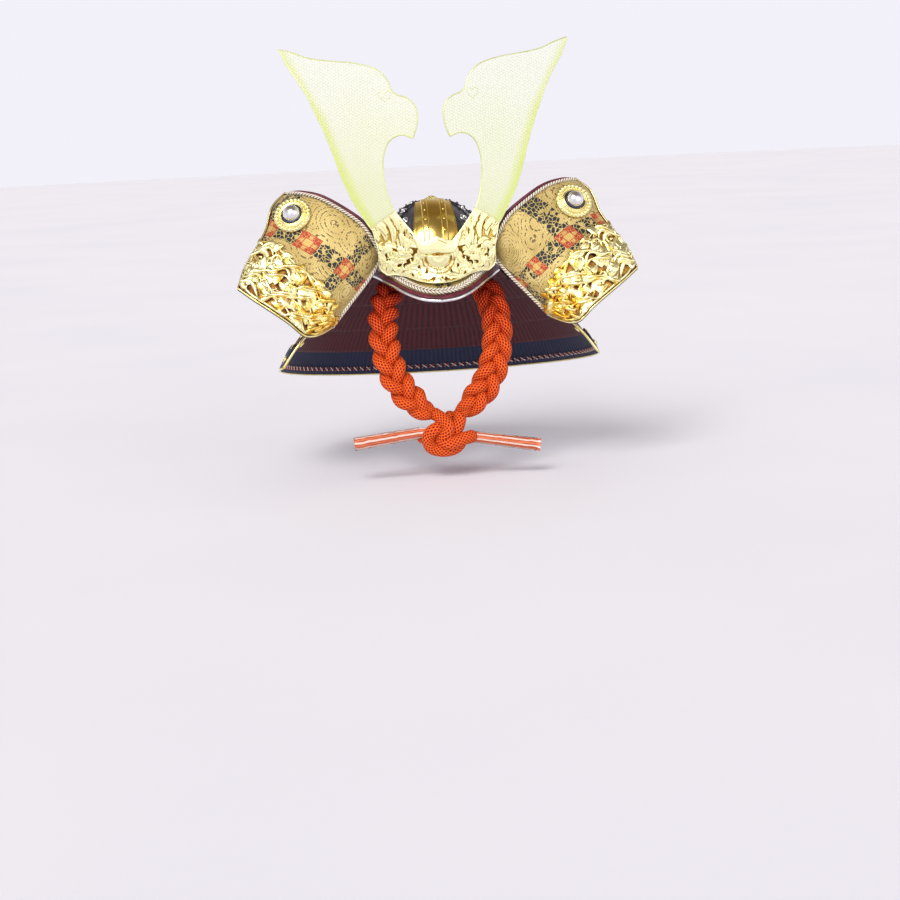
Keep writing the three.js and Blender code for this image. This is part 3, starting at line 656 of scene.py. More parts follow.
def tube(bm, route, radius, sides, tag=0, front=None):
    """A round cord along a route: its UV map is the share round it and the millimetres along.
    The radius is a number or is read over the share of the length."""
    steps = framed(route, front)
    total = steps[-1][3]
    last = len(steps) - 1

    def skin(u, v):
        point, side, up, walked = steps[round(v * last)]
        r = radius(walked / total) if callable(radius) else radius
        turn = tau * u
        return point + side * (cos(turn) * r) + up * (sin(turn) * r)

    part = bmesh.new()
    cover(part, (sides, last), (1, total / mm), skin, tag)
    bmesh.ops.remove_doubles(part, verts=part.verts, dist=0.000002)
    ends = [edge for edge in part.edges if edge.is_boundary]
    for cap in bmesh.ops.holes_fill(part, edges=ends, sides=0)["faces"]:
        cap.material_index = tag
    settle(part, bm)


def twisted(bm, route, strands, lie, pitch, radius, sides, tags):
    """Strands laid helically round a route, the way a rope is twisted."""
    steps = framed(route)
    for k in range(strands):
        strand = []
        for point, side, up, walked in steps:
            turn = tau * (walked / pitch + k / strands)
            strand.append(point + side * (cos(turn) * lie) + up * (sin(turn) * lie))
        tube(bm, strand, radius[k], sides, tags[k])


# Cream silk cord, tightly twisted: matt pale thread with soft grooves between its strands.
cream, tree, shader = new_material(
    "twisted_cream_silk", {"Roughness": 0.62, "Sheen Weight": 0.3, "Sheen Roughness": 0.4}
)
thread = add(tree, "TexCoord").outputs["UV"]
lay = add(tree, "Mapping", {"Vector": thread, "Scale": (4, 1.2, 1), "Rotation": (0, 0, 0.7)})
ply = add(tree, "TexWave", {"Vector": lay, "Scale": 0.9, "Distortion": 0.6})
wire(
    tree, add(tree, "ValToRGB", {"Fac": ply.outputs["Fac"]}, stops=((0.1, "#DCCBA8"), (0.6, "#FFFAEE"))),
    shader, "Base Color",
)
wire(
    tree, add(tree, "Bump", {"Height": ply.outputs["Fac"], "Distance": 0.00012, "Strength": 0.7}), shader,
    "Normal",
)

# Brown silk cord of the same make, dyed dark so that the cream strand stands out beside it.
def spun(name, inputs, scale, distortion, stops):
    """A silk cord's material: its ply runs in waves along the piece's own UV map."""
    made, tree, shader = new_material(name, inputs)
    thread = add(tree, "TexCoord").outputs["UV"]
    ply = add(tree, "TexWave", {"Vector": thread, "Scale": scale, "Distortion": distortion})
    wire(tree, add(tree, "ValToRGB", {"Fac": ply.outputs["Fac"]}, stops=stops), shader, "Base Color")
    return made


brown = spun(
    "twisted_brown_silk", {"Roughness": 0.6, "Sheen Weight": 0.2, "Sheen Roughness": 0.4},
    0.9, 0.6, ((0.1, "#2A1512"), (0.7, "#6B4226")),
)

rope_line = []
second_line = []
rim_line = []
for k in range(169):
    turn = (2 * k / 168 - 1) * visor_half_angle
    rope_out = visor_edge(turn) - leather_width - air - 2.1
    for near, route in ((-1.02, rope_line), (1.02, second_line)):
        route.append(on_visor(turn * 0.97, rope_out + near, air + 1.15))
    rim_line.append(on_visor(turn, visor_edge(turn) + air + rim_radius, -visor_wall / 2))
bm = bmesh.new()
# Two ropes of opposite twist lie side by side, so that their strands meet in arrowheads.
for route, pitch in ((rope_line, 5.2 * mm), (second_line, -5.2 * mm)):
    twisted(
        bm, even(route, 0.45 * mm), 4, 0.5 * mm, pitch, (0.66 * mm, 0.36 * mm, 0.66 * mm, 0.36 * mm), 8,
        (0, 1, 0, 1),
    )
piece("visor_cord", bm, [cream, brown], ["visor_rope"])
bm = bmesh.new()
tube(bm, even(rim_line, 1.0 * mm), rim_radius * mm, 12)
piece("visor_wire", bm, [silver], ["visor_rim"])

# Crest plate. A cast and chased gilt plate stands on the visor: overlapping leaves and curls in
# low relief, a smooth broad band between its wings, and a cup and bead at its middle.
crest_radius = bowl_radius + 9
crest_flat_from = 18
crest_reach = 43.7
crest_height = 38
crest_drop = 11.5
crest_wall = 1
horn_lean = 0.12
horn_foot = 12
crest_flat_depth = sqrt(crest_radius**2 - crest_flat_from**2)
crest_flat_slope = crest_flat_from / crest_flat_depth


def crest_front(x, z):
    side = abs(x)
    middle = max(1 - (side / (0.54 * crest_radius)) ** 2, 0)
    spread = -0.58 * z * middle if z < 0 else 0
    lean = horn_lean * max(z - horn_foot, 0)
    if side < crest_flat_from:
        return lean - sqrt(crest_radius**2 - side**2) - spread
    return lean - crest_flat_depth + crest_flat_slope * (side - crest_flat_from) - spread


def on_crest(x, z, lift):
    return at(x, crest_front(x, z) - crest_wall - lift, z)


# Cast gilding: lemon gold nearly white on the high places, amber down in the hollows, with brown lines
# round every leaf. Both are read from how deep the relief lies: partly the gilding's own tone, partly
# painted shade in the hollows and along the leaf edges.
cast_gilt, tree, shader = new_material("chased_cast_gilding", {"Metallic": 1.0, "Roughness": 0.36})
place = add(tree, "TexCoord").outputs["Object"]
shade_depth = add(tree, "Attribute", attribute_name="shade_depth").outputs["Fac"]
cloud = add(tree, "TexNoise", {"Vector": place, "Scale": 300.0, "Detail": 4.0})
depth = add(tree, "Math", {0: cloud, 1: 0.24, 2: shade_depth}, operation="MULTIPLY_ADD")
tone_and_painted_light = add(
    tree, "ValToRGB", {"Fac": depth},
    stops=((0.1, "#FAF5C2"), (0.34, "#F1E7A2"), (0.52, "#C9AA52"), (0.74, "#93681F"), (1.0, "#54300E")),
)
wire(tree, tone_and_painted_light, shader, "Base Color")
grain = add(tree, "TexNoise", {"Vector": place, "Scale": 1400.0, "Detail": 2.0})
wire(tree, add(tree, "Bump", {"Height": grain, "Distance": 0.0001, "Strength": 0.5}), shader, "Normal")




def scroll(bm, surface, x, z, size, start, turns, thick, mirror=1, tag=0, lift=0.0):
    """A tendril that curls in on itself, with a ball at its heart and leaves on its back."""
    line = []
    sense = 1 if turns > 0 else -1
    for k in range(33):
        share = k / 32
        turn = radians(start) + tau * turns * share
        r = size * (1 - 0.86 * share)
        line.append((x + mirror * r * cos(turn), z + r * sin(turn), share))
    route = [surface(px, pz, lift + 0.35 * thick + 0.5 * sin(pi * s)) for px, pz, s in line]
    tube(bm, route, lambda s: thick * mm * (0.35 + 0.65 * sin(pi * min(1, s + 0.12)) ** 0.7), 7, tag)
    px, pz, _ = line[-1]
    dome(bm, *footing(surface, px, pz, lift, lift + 2), thick * 1.25, thick * 1.7, tag, 3, 8)
    for k in (3, 8, 13, 18):
        px, pz, share = line[k]
        turn = radians(start) + tau * turns * share + sense * 0.9
        leaf(bm, surface, px, pz, degrees(atan2(sin(turn), mirror * cos(turn))),
             size * (0.75 - share * 0.5), size * 0.24, tag, lift + 0.2)


def leaf(bm, surface, x, z, lean, long, wide, tag=0, lift=0.0):
    """A pointed leaf in relief with a groove down its middle."""
    ca, sa = cos(radians(lean)), sin(radians(lean))

    def blade(u, v):
        a = long * v
        w = wide * sin(pi * min(1, 0.12 + 0.88 * v)) ** 0.75
        b = (2 * u - 1) * w
        puff = 0.9 * sin(pi * v) ** 0.6 * max(0, 1 - (2 * u - 1) ** 2) ** 0.5
        groove = 0.3 * max(0, 1 - abs(2 * u - 1) * 3)
        bend = 0.18 * long * sin(pi * v)
        return surface(
            x + a * ca - (b + bend) * sa, z + a * sa + (b + bend) * ca, lift + puff - groove - 0.15,
        )

    part = bmesh.new()
    cover(part, (6, 6), (1, 1), blade, tag)
    settle(part, bm)


def chased(sprigs, x, z, flat):
    """The height of the leaf that lies highest over a place, and how deep that place lies, which paints its
    shade.
    """
    best = 0.0
    shade_depth = 0.85 - 0.45 * flat
    for px, pz, ca, sa, long, wide, lift in sprigs:
        dx, dz = x - px, z - pz
        a = dx * ca + dz * sa
        if a <= 0 or a >= long:
            continue
        share = a / long
        b = dz * ca - dx * sa - 0.16 * long * sin(pi * share)
        half = wide * sin(pi * (0.14 + 0.86 * share)) ** 0.7
        if abs(b) >= half:
            continue
        q = abs(b) / half
        swell = (1 - q * q) ** 0.5 * (0.45 + 0.55 * sin(pi * share) ** 0.5)
        rise = lift + (0.75 - 0.4 * flat) * swell
        rise -= 0.22 * max(0, 1 - q * 5)
        if rise > best:
            best = rise
            # Leaf edges, the middle groove and low places are deeper: painted shade in the valleys of the
            # relief.
            shade_depth = 0.95 * max(0, q - 0.7) / 0.3 + 0.45 * max(0, 1 - q * 6) + 0.15 * max(0, 0.8 - rise)
    return best, shade_depth


def sprig(x, z, lean, long, wide, lift):
    return x, z, cos(radians(lean)), sin(radians(lean)), long, wide, lift


crest_sprigs = []
for row in range(-5, 12):
    for column in range(-1, 11):
        x = (column + 0.5 * (row % 2)) * 4.7 + 0.9 * sin(row * 2.3)
        z = row * 3.7 + 0.8 * sin(column * 1.9)
        broad = z > 16 and x > 14
        curl = degrees(sin(x / 4.3 + z / 4.9) * 1.4)
        lean = 118 - 2.0 * x + 14 * sin(row * 1.7 + column) if broad else -10 + curl + 0.9 * x
        long = 15 if broad else 8.8
        wide = 2.5 if broad else 2.6
        crest_sprigs.append(sprig(x, z, lean, long, wide, 0.1 + 0.16 * ((row * 7 + column * 3) % 5)))
# Four petals fan out under the cup.
for lean in (-14, -40, -66, -92):
    crest_sprigs.append(sprig(0.4, 1.6, lean, 9.5, 2.2, 1.0))
crest_known = {}

# The plate is a fan of lines between its upper and its lower edge, given as shares of its reach
# and of its height above or its drop below the visor.
upper_chain = [
    (0, 0.53), (0.06, 0.5), (0.13, 0.46), (0.24, 0.45), (0.36, 0.6), (0.5, 0.8), (0.63, 1),
    (0.75, 0.93), (0.87, 0.83), (0.94, 0.775), (1, 0.72),
]
lower_chain = [
    (0, -0.92), (0.09, -0.91), (0.2, -0.87), (0.34, -0.75), (0.5, -0.52), (0.66, -0.4),
    (0.8, -0.42), (0.88, -0.2), (0.92, 0.02), (0.92, 0.3), (0.97, 0.55),
]


def crest_top(x):
    """The height of the plate's upper edge at a distance from its middle."""
    for (xa, za), (xb, zb) in zip(upper_chain, upper_chain[1:]):
        xa, xb = xa * crest_reach, xb * crest_reach
        if xa <= x <= xb:
            return (za + (zb - za) * (x - xa) / (xb - xa)) * crest_height
    return upper_chain[-1][1] * crest_height


def crest_relief(x, z):
    """Height of the chasing over the crest plate and the depth that paints its shade, alike on both sides.
    """
    key = (round(abs(x), 3), round(z, 3))
    if key not in crest_known:
        side = key[0]
        under = crest_top(side) - z
        foot = 8.6 + 0.3 * max(0, side - 10) ** 2
        if side < 19 and z > foot:
            groove = max(0, 1 - abs(z - foot) / 0.6)
            if side < 6.5:
                groove += max(0, 1 - abs(under - 1.9) / 0.4)
            known = (1.35 - 0.4 * min(groove, 1), 0.75 * min(groove, 1))
        elif side < 26.5 and under < 1.9:
            known = (1.3, 0.6 * max(0, 1 - abs(under - 1.6) / 0.35))
        elif side < 9.0 and z > 2:
            known = (0.8, 0.12)
        else:
            known = chased(crest_sprigs, side, z, min(1, max(0, (z - 10) / 6)) if side > 12 else 0)
        crest_known[key] = known
    return crest_known[key]


def chain(table, share):
    spot = min(max(share, 0), 1) * (len(table) - 1)
    i = min(int(spot), len(table) - 2)
    (xa, za), (xb, zb) = table[i], table[i + 1]
    x, z = xa + (xb - xa) * (spot - i), za + (zb - za) * (spot - i)
    return x * crest_reach, z * (crest_drop if z < 0 else crest_height)


def crest_spot(u, v):
    turned_u = 2 * u - 1
    low, high = chain(lower_chain, abs(turned_u)), chain(upper_chain, abs(turned_u))
    side = -1 if turned_u < 0 else 1
    return side * (low[0] + (high[0] - low[0]) * v), low[1] + (high[1] - low[1]) * v


bm = bmesh.new()
deep = bm.verts.layers.float.new("shade_depth")
cells = (240, 90)
depths = []


def crest_face(u, v):
    x, z = crest_spot(u, v)
    rise, shade_depth = crest_relief(x, z)
    fade = min(1, 14 * v, 14 * (1 - v), 30 * (1 - abs(2 * u - 1)))
    depths.append(shade_depth * fade)
    return on_crest(x, z, rise * (0.55 + 0.45 * fade) if fade < 1 else rise)


verts, _ = cover(bm, cells, (1, 1), crest_face)
for vert, shade_depth in zip(verts, depths):
    vert[deep] = shade_depth
cover(bm, cells, (1, 1), lambda u, v: on_crest(*crest_spot(u, v), -crest_wall))
bmesh.ops.bridge_loops(bm, edges=[edge for edge in bm.edges if edge.is_boundary])
bmesh.ops.recalc_face_normals(bm, faces=list(bm.faces))
piece("crest_ground", bm, [cast_gilt], ["crest_base"])

bm = bmesh.new()
crest_scrolls = [
    (0.36, 0.13, 0.075, 20, -1.2, 0.75), (0.56, 0.3, 0.075, 150, 1.2, 0.75),
    (0.72, 0.26, 0.085, 180, 1.3, 0.8), (0.5, 0.02, 0.07, 60, -1.2, 0.75),
    (0.8, 0.05, 0.075, 300, 1.2, 0.75), (0.66, 0.0, 0.06, 120, -1.2, 0.7),
    (0.3, -0.1, 0.06, 200, 1.2, 0.65), (0.85, 0.38, 0.07, 90, -1.2, 0.75),
]
for mirror in (-1, 1):
    for x, z, size, start, turns, thick in crest_scrolls:
        scroll(
            bm, on_crest, mirror * x * crest_reach, z * crest_height, size * crest_reach, start, turns,
            thick, mirror, 0, 0.55,
        )
rim = [crest_spot(k / 240, 1) for k in range(241)] + [crest_spot(k / 240, 0) for k in range(240, -1, -1)]
edge_route = [on_crest(x, z, 0.35) for x, z in rim + rim[:1]]
tube(bm, even(edge_route, 0.8 * mm), 0.5 * mm, 8)
piece("crest_curls", bm, [cast_gilt])

cup_width = 17
cup_height = 8
cup_top = 7
bm = bmesh.new()


def cup_face(u, v):
    turn = pi * u
    r = v
    x = -cup_width / 2 * cos(turn) * r
    z = cup_top - cup_height * sin(turn) * r
    puff = 2.2 * sqrt(max(0, 1 - r**3.2)) + 0.2 * cos(4 * pi * r)
    return on_crest(x, z, air * 3 + puff)


verts, _ = cover(bm, (32, 14), (1, 1), cup_face)
close(bm, verts)
lip = [on_crest(x, cup_top, 1.8) for x in (-8.5, -6, -3, 0, 3, 6, 8.5)]
tube(bm, lip, 0.8 * mm, 8)
for top, apart in ((cup_top, 0.6), (cup_top - 1.0, 2.6)):
    arc = [pi * k / 24 for k in range(25)]
    line = [
        on_crest(-(cup_width / 2 + apart) * cos(turn), top - (cup_height + apart) * sin(turn), 1.7)
        for turn in arc
    ]
    tube(bm, line, 0.42 * mm, 6, 1)
# An amber leaf along the top of the cup is painted shade in the cup's opening.
leaf(bm, on_crest, -5.5, cup_top - 0.6, 0, 11, 1.3, 1, 1.9)
piece("crest_cup_face", bm, [cast_gilt, amber], ["crest_cup"])
bm = bmesh.new()
drop = on_crest(0, -3.25, air + 1.9)
dome(bm, drop, Vector((0, -1, 0)), 1.9, 1.9, 0, 5, 16)
for lean in (-166, -14, -140, -40, -115, -65):
    leaf(bm, on_crest, 0, -1.4, lean, 8.2, 2.3, 1, 0.7)
    leaf(bm, on_crest, 0, -1.6, lean, 7.4, 1.8, 0, 1.1)
piece("crest_drop", bm, [cast_gilt, amber], ["crest_bead"])

# Horns. Two flat plates of pale gilt brass are slotted behind the crest plate. Rows of small
# scales are rolled into their faces and a smooth bright margin is left round the edge.
horn_wall = 1.1
horn_reach = 100.8
horn_height = 147.7
horn_seat_share = 0.4335
horn_shares = [
    (0.19, 0.05), (0.278, 0.2255), (0.301, 0.265), (0.318, 0.305), (0.33, 0.347), (0.338, 0.388),
    (0.339, 0.431), (0.334, 0.473), (0.319, 0.513), (0.291, 0.55), (0.241, 0.574), (0.182, 0.579),
    (0.125, 0.563), (0.104, 0.601), (0.091, 0.641), (0.092, 0.681), (0.112, 0.718), (0.156, 0.745),
    (0.212, 0.759), (0.254, 0.786), (0.272, 0.825), (0.333, 0.875), (0.424, 0.903), (0.521, 0.918),
    (0.619, 0.928), (0.717, 0.938), (0.815, 0.953), (0.906, 0.979), (1, 1), (0.954, 0.925),
    (0.888, 0.854), (0.828, 0.781), (0.78, 0.704), (0.732, 0.627), (0.69, 0.548), (0.653, 0.468),
    (0.615, 0.388), (0.57, 0.31), (0.513, 0.236), (0.449, 0.1645), (0.33, 0.05),
]


def horn_plane(x, z):
    line = -crest_flat_depth + crest_flat_slope * (abs(x) - crest_flat_from)
    return line + horn_lean * (z - horn_foot) + 1.2 * air


# Rolled pale gilt sheet: nearly white lemon gold with faint scales 1.8 mm across. It is paler towards the
# tips.
pale, tree, shader = new_material("rolled_lemon_gilding", {"Metallic": 0.35, "Roughness": 0.42})
place = add(tree, "TexCoord").outputs["Object"]
spread = add(tree, "SeparateXYZ", {"Vector": place})
outwards = add(tree, "Math", {0: spread.outputs["X"]}, operation="ABSOLUTE")
upright = add(tree, "CombineXYZ", {"X": outwards, "Y": spread.outputs["Z"]})
# The rows run along the horn, which leans out by 28 degrees.
horn_turn = radians(28)
upright = add(tree, "Mapping", {"Vector": upright, "Rotation": (0, 0, horn_turn)})
scales = add(
    tree, "TexBrick",
    {
        "Vector": upright, "Scale": 1.0, "Brick Width": 0.0021, "Row Height": 0.0018,
        "Mortar Size": 0.00036, "Mortar Smooth": 1.0, "Mortar": (0, 0, 0, 1),
        "Color1": (1, 1, 1, 1), "Color2": (0.9, 0.9, 0.9, 1),
    },
)
cloud = add(tree, "TexNoise", {"Vector": place, "Scale": 26.0, "Detail": 3.0})
tint = add(tree, "Math", {0: spread.outputs["Z"], 1: 4.6, 2: 0.0}, operation="MULTIPLY_ADD")
tint = add(tree, "Math", {0: cloud, 1: 0.35, 2: tint}, operation="MULTIPLY_ADD")
tint = add(tree, "Math", {0: scales, 1: 0.5, 2: tint}, operation="MULTIPLY_ADD")
# The gilding is left yellower over the last 7 mm before the outer edge.
up_share = -sin(horn_turn)
across = add(tree, "Math", {0: outwards, 1: cos(horn_turn)}, operation="MULTIPLY")
across = add(tree, "Math", {0: spread.outputs["Z"], 1: up_share, 2: across}, operation="MULTIPLY_ADD")
outer = add(
    tree, "MapRange",
    {"Value": spread.outputs["Z"], "From Min": 0.008, "From Max": 0.062, "To Min": 0.0476, "To Max": 0.039},
)
inside = add(tree, "Math", {0: outer, 1: across}, operation="SUBTRACT")
yellow = add(
    tree, "MapRange",
    {"Value": inside, "From Min": 0.0005, "From Max": 0.007, "To Min": -0.8, "To Max": 0.0},
)
tint = add(tree, "Math", {0: tint, 1: yellow}, operation="ADD")
shades = ((0.0, "#D0DB84"), (0.35, "#D8DFAC"), (0.65, "#DDE0C8"), (1.0, "#E2E4DA"))
wire(tree, add(tree, "ValToRGB", {"Fac": tint}, stops=shades), shader, "Base Color")
wire(tree, add(tree, "Bump", {"Height": scales, "Distance": 0.0002, "Strength": 0.35}), shader, "Normal")

# The margin is the same gilding, left a stronger yellow.
margin = clouded(
    "burnished_lemon_edge", {"Metallic": 0.4, "Roughness": 0.36},
    90, 3, ((0.35, "#D3DA92"), (0.65, "#DEE4AC")),
)

for name, side in (("left", -1), ("right", 1)):
    bm = bmesh.new()
    outline = []
    count = len(horn_shares)
    sharp = (0, 12, 28, 40)
    for k in range(count - 1):
        a, b = horn_shares[k], horn_shares[k + 1]
        for part in range(4):
            f = part / 4
            if k in sharp or k + 1 in sharp or k == 0:
                px, pz = a[0] + (b[0] - a[0]) * f, a[1] + (b[1] - a[1]) * f
            else:
                window = [Vector(horn_shares[j]) for j in (k - 1, k, k + 1, k + 2)]
                px, pz = read(window, (1 + f) / 3)
            outline.append((px, pz))
    outline.append(horn_shares[-1])
    ring = []
    for px, pz in outline:
        within = min(px / horn_seat_share, 1) * crest_reach
        beyond = max(px - horn_seat_share, 0) / (1 - horn_seat_share)
        ring.append((within + beyond * (horn_reach - crest_reach), horn_foot / 3 + pz * horn_height))
    face = bm.faces.new([bm.verts.new((side * x, z, 0)) for x, z in ring])
    bmesh.ops.inset_region(bm, faces=[face], thickness=1.5, depth=0, use_even_offset=True)
    for border in bm.faces:
        border.material_index = 0 if border == face else 1
    inner_ring = set(face.verts)
    for vert in bm.verts:
        vert.co.z = 0.0 if vert in inner_ring else 0.25
    bmesh.ops.triangulate(bm, faces=[face])
    grown = bmesh.ops.extrude_face_region(bm, geom=list(bm.faces))
    back = {v for v in grown["geom"] if isinstance(v, bmesh.types.BMVert)}
    for vert in bm.verts:
        x, z, lift = vert.co
        depth = horn_wall if vert in back else -lift * 0.6
        vert.co = at(x, horn_plane(x, z) + depth, z)
    bmesh.ops.recalc_face_normals(bm, faces=list(bm.faces))

    def on_horn(x, z, lift):
        return at(x, horn_plane(x, z) - lift, z)

    # A small heart is chased where the hook leaves the horn, and a fine wire closes the edge.
    heart = []
    heart_size = 0.26
    for k in range(49):
        turn = tau * k / 48
        hx = 16 * sin(turn) ** 3
        hz = 13 * cos(turn) - 5 * cos(2 * turn) - 2 * cos(3 * turn) - cos(4 * turn)
        heart.append(on_horn(side * (30 + heart_size * hx), 116 + heart_size * hz, 0.02))
    tube(bm, heart, 0.17 * mm, 6, 1)
    edge = [at(side * x, horn_plane(x, z) + horn_wall / 2, z) for x, z in ring]
    tube(bm, even(edge, 1.2 * mm), 0.62 * mm, 8, 1)
    piece("horn_plate_" + name, bm, [pale, margin], ["horn_" + name], smooth=False)

# Neck guard. Five lacquered rows overlap and flare out behind, each hidden under closely set
# silk laces; the lowest is laced in navy with a line of crossed stitches near its edge.
guard_radius = 114.5
guard_drop = 57.5
guard_droop = 0.6
lame_wall = 1.3
lame_lap = 2.2
fold_angle = 123
end_angle = 105
guard_outs = [0, 0.22, 0.45, 0.69, 0.86, 1]
guard_downs = [0, 0.17, 0.37, 0.6, 0.79, 1]


def on_guard(turn, share, lift):
    def spot(s):
        r = bowl_radius + 2 * air + (guard_radius - bowl_radius - 2 * air) * read(guard_outs, s)
        lean = cos(radians(turn)) - cos(radians(fold_angle))
        deeper = 1 + guard_droop * lean / (1 - cos(radians(fold_angle)))
        return r, -3.5 - guard_drop * read(guard_downs, s) * deeper

    r, z = spot(share)
    r2, z2 = spot(share + (0.02 if share < 0.98 else 0))
    r1, z1 = spot(share - (0 if share < 0.98 else 0.02))
    size = hypot(r2 - r1, z2 - z1)
    out = r + lift * (z1 - z2) / size
    up = z + lift * (r2 - r1) / size
    return at(out * sin(radians(turn)), out * cos(radians(turn)), up)


def silk_lacing(name, deep, mid, bright):
    """Flat braided silk lace, dyed: a herringbone of glossy thread, darker in the grooves."""
    made, tree, shader = new_material(
        name, {"Roughness": 0.55, "Sheen Weight": 0.06, "Sheen Roughness": 0.35},
    )
    laces = add(tree, "TexCoord").outputs["UV"]
    split = add(tree, "SeparateXYZ", {"Vector": laces})
    groove = add(tree, "Math", {0: split.outputs["X"], 1: 0.5}, operation="PINGPONG")
    chevron = add(tree, "Math", {0: groove, 1: 2.4, 2: split.outputs["Y"]}, operation="MULTIPLY_ADD")
    rib = add(tree, "Math", {0: chevron, 1: 0.45}, operation="PINGPONG")
    tone = add(tree, "Math", {0: rib, 1: groove}, operation="ADD")
    wire(
        tree, add(tree, "ValToRGB", {"Fac": tone}, stops=((0.1, deep), (0.45, mid), (0.9, bright))), shader,
        "Base Color",
    )
    wire(tree, add(tree, "Bump", {"Height": rib, "Distance": 0.0003, "Strength": 0.8}), shader, "Normal")
    return made


# The red laces are kept nearly black: the silk's deep red with painted shade, as the inside of the guard
# lies in shadow.
red_lace = silk_lacing("braided_red_silk", "#1C0408", "#48101A", "#761C2A")
navy_lace = silk_lacing("braided_navy_silk", "#070A1C", "#111A3E", "#24305F")

lace_width = 3.4
for k in range(5):
    bm = bmesh.new()
    top = max(k / 5 - (lame_lap / 100 if k > 0 else 0), 0)
    foot = (k + 1) / 5
    reach = 2 * radians(fold_angle if k < 3 else end_angle) * guard_radius * read(guard_outs, foot - 0.1)
    laces = round(reach / lace_width)

    def row(u, v, lift, k=k, top=top, foot=foot, laces=laces):
        share = top + v * (foot - top)
        widen = min(max((share - 0.1) / 0.1, 0), 1)
        limit = (112 + (fold_angle - 112) * widen) if k < 3 else end_angle
        step = (lame_wall + air) * 1.35 * ((1 - v) if k > 0 else 0)
        ridge = 0.42 * abs(sin(pi * laces * u)) ** 0.6 * min(1, 5 * v, 6 * (1 - v) + 0.3)
        lift = lame_wall - 0.3 + ridge if lift == 0 else 0.25 - ridge * 0.6
        return on_guard((2 * u - 1) * limit, share, lift + step)

    shell(bm, (laces * 6, 8), (laces, 16), row, lame_wall)
    silk = red_lace if k < 4 else navy_lace
    piece("laced_row_%d" % (k + 1), bm, [silk], ["lame_%d" % (k + 1)])

bm = bmesh.new()
for k in range(69):
    turn = (2 * (k + 0.5) / 69 - 1) * (end_angle - 2)
    for face_lift in (1.55, -0.3):
        for lean in (-1, 1):
            ends = [on_guard(turn + s * 0.95, 0.945 + lean * s * 0.014, face_lift) for s in (-1, 0, 1)]
            tube(bm, ends, 0.42 * mm, 5, 0 if lean > 0 else 1)
# Vermilion silk stitches cross with cream ones.
stitch = spun(
    "twisted_vermilion_silk", {"Roughness": 0.6, "Sheen Weight": 0.3},
    0.8, 0.5, ((0.2, "#8A1E14"), (0.8, "#D8442A")),
)
piece("crossed_stitches", bm, [cream, stitch])

bm = bmesh.new()
guard_rim = [on_guard((2 * k / 220 - 1) * end_angle, 1.0, 0.65) for k in range(221)]
tube(bm, guard_rim, 0.75 * mm, 8)
for side in (-1, 1):
    ends = [on_guard(side * (end_angle + 0.3), 0.62 + 0.38 * k / 24, 0.65) for k in range(25)]
    tube(bm, ends, 1.0 * mm, 8)
for side in (-1, 1):
    # Gilt eyelets stud each front end, and a larger one takes a tie on the inner face.
    for share in (0.68, 0.8, 0.92):
        seat, axis = footing(on_guard, side * (end_angle - 1.8), share, 2.6, 5)
        eyelet = [(1.2, -0.6), (2.3, -0.6), (2.4, 0.3), (1.9, 0.8), (1.4, 0.6), (1.2, -0.6)]
        turned(bm, eyelet, 18, seat, axis)
    seat, axis = footing(on_guard, side * (end_angle - 1.2), 0.74, -0.6, -4)
    eyelet = [(1.7, -0.5), (2.9, -0.5), (3.0, 0.4), (2.4, 0.9), (1.8, 0.6), (1.7, -0.5)]
    turned(bm, eyelet, 20, seat, axis)
piece("guard_gilt_rim", bm, [gilt])

# Turned-back wings. The front ends of the upper rows are bent back and faced: a maroon leather
# core with a piped edge, a brocade panel, and a twisted cream cord stitched round the panel.
wing_reach = 137.5
wing_rise = 49.5
wing_drop = 48
wing_bulge = 11
wing_front = 25.5
wing_foot_front = 52
wing_sweep = 20
wing_seat = 4.2
wing_wall = 1.3
brocade_wall = 0.7
brocade_inset = 2.7 / 60
wing_top = [
    (0.29, 0), (0.292, 0.17), (0.323, 0.38), (0.371, 0.57), (0.471, 0.776), (0.57, 0.93), (0.67, 0.995),
    (0.745, 0.985),
]
wing_low = [
    (0.545, -0.9), (0.6, -0.97), (0.645, -1), (0.69, -0.97), (0.76, -0.79), (0.85, -0.6), (0.93, -0.44),
    (1, -0.29),
]
wing_fold = [(0.29, 0), (0.33, -0.2), (0.385, -0.39), (0.44, -0.56), (0.495, -0.74), (0.545, -0.9)]
wing_outer = [(0.745, 0.985), (0.815, 0.8), (0.85, 0.5), (0.9, 0.26), (0.965, -0.02), (1, -0.29)]
wing_swell = [0, -0.62, -0.98, -1, -0.82, -0.5, -0.1, 0.4]

wing_top, wing_low, wing_fold, wing_outer = (
    [Vector(entry) for entry in table] for table in (wing_top, wing_low, wing_fold, wing_outer)
)


def wing_edge(table, share):
    x, z = read(table, share)
    return Vector((x * wing_reach, z * (wing_rise if z > 0 else wing_drop)))


def wing_point(n, t):
    """A point of the right wing: n runs outwards from the fold, t down from the top edge."""
    flat = (
        wing_edge(wing_top, n) * (1 - t)
        + wing_edge(wing_low, n) * t
        + wing_edge(wing_fold, t) * (1 - n)
        + wing_edge(wing_outer, t) * n
        - wing_edge(wing_top, 0) * (1 - n) * (1 - t)
        - wing_edge(wing_top, 1) * n * (1 - t)
        - wing_edge(wing_low, 0) * (1 - n) * t
        - wing_edge(wing_low, 1) * n * t
    )
    lean = wing_front + (wing_foot_front - wing_front) * t
    depth = wing_bulge * read(wing_swell, n) + n * (1 - t) * wing_sweep - lean
    return at(flat.x, depth, flat.y + wing_seat - 0.03 * depth)


def wing_normal(n, t):
    e = 0.01
    a = wing_point(min(n + e, 1), t) - wing_point(max(n - e, 0), t)
    b = wing_point(n, min(t + e, 1)) - wing_point(n, max(t - e, 0))
    out = b.cross(a).normalized()
    return -out if out.y > 0 else out


def on_wing(n, t, lift, side=1):
    p = wing_point(n, t) + wing_normal(n, t) * (lift * mm)
    return Vector((side * p.x, p.y, p.z))


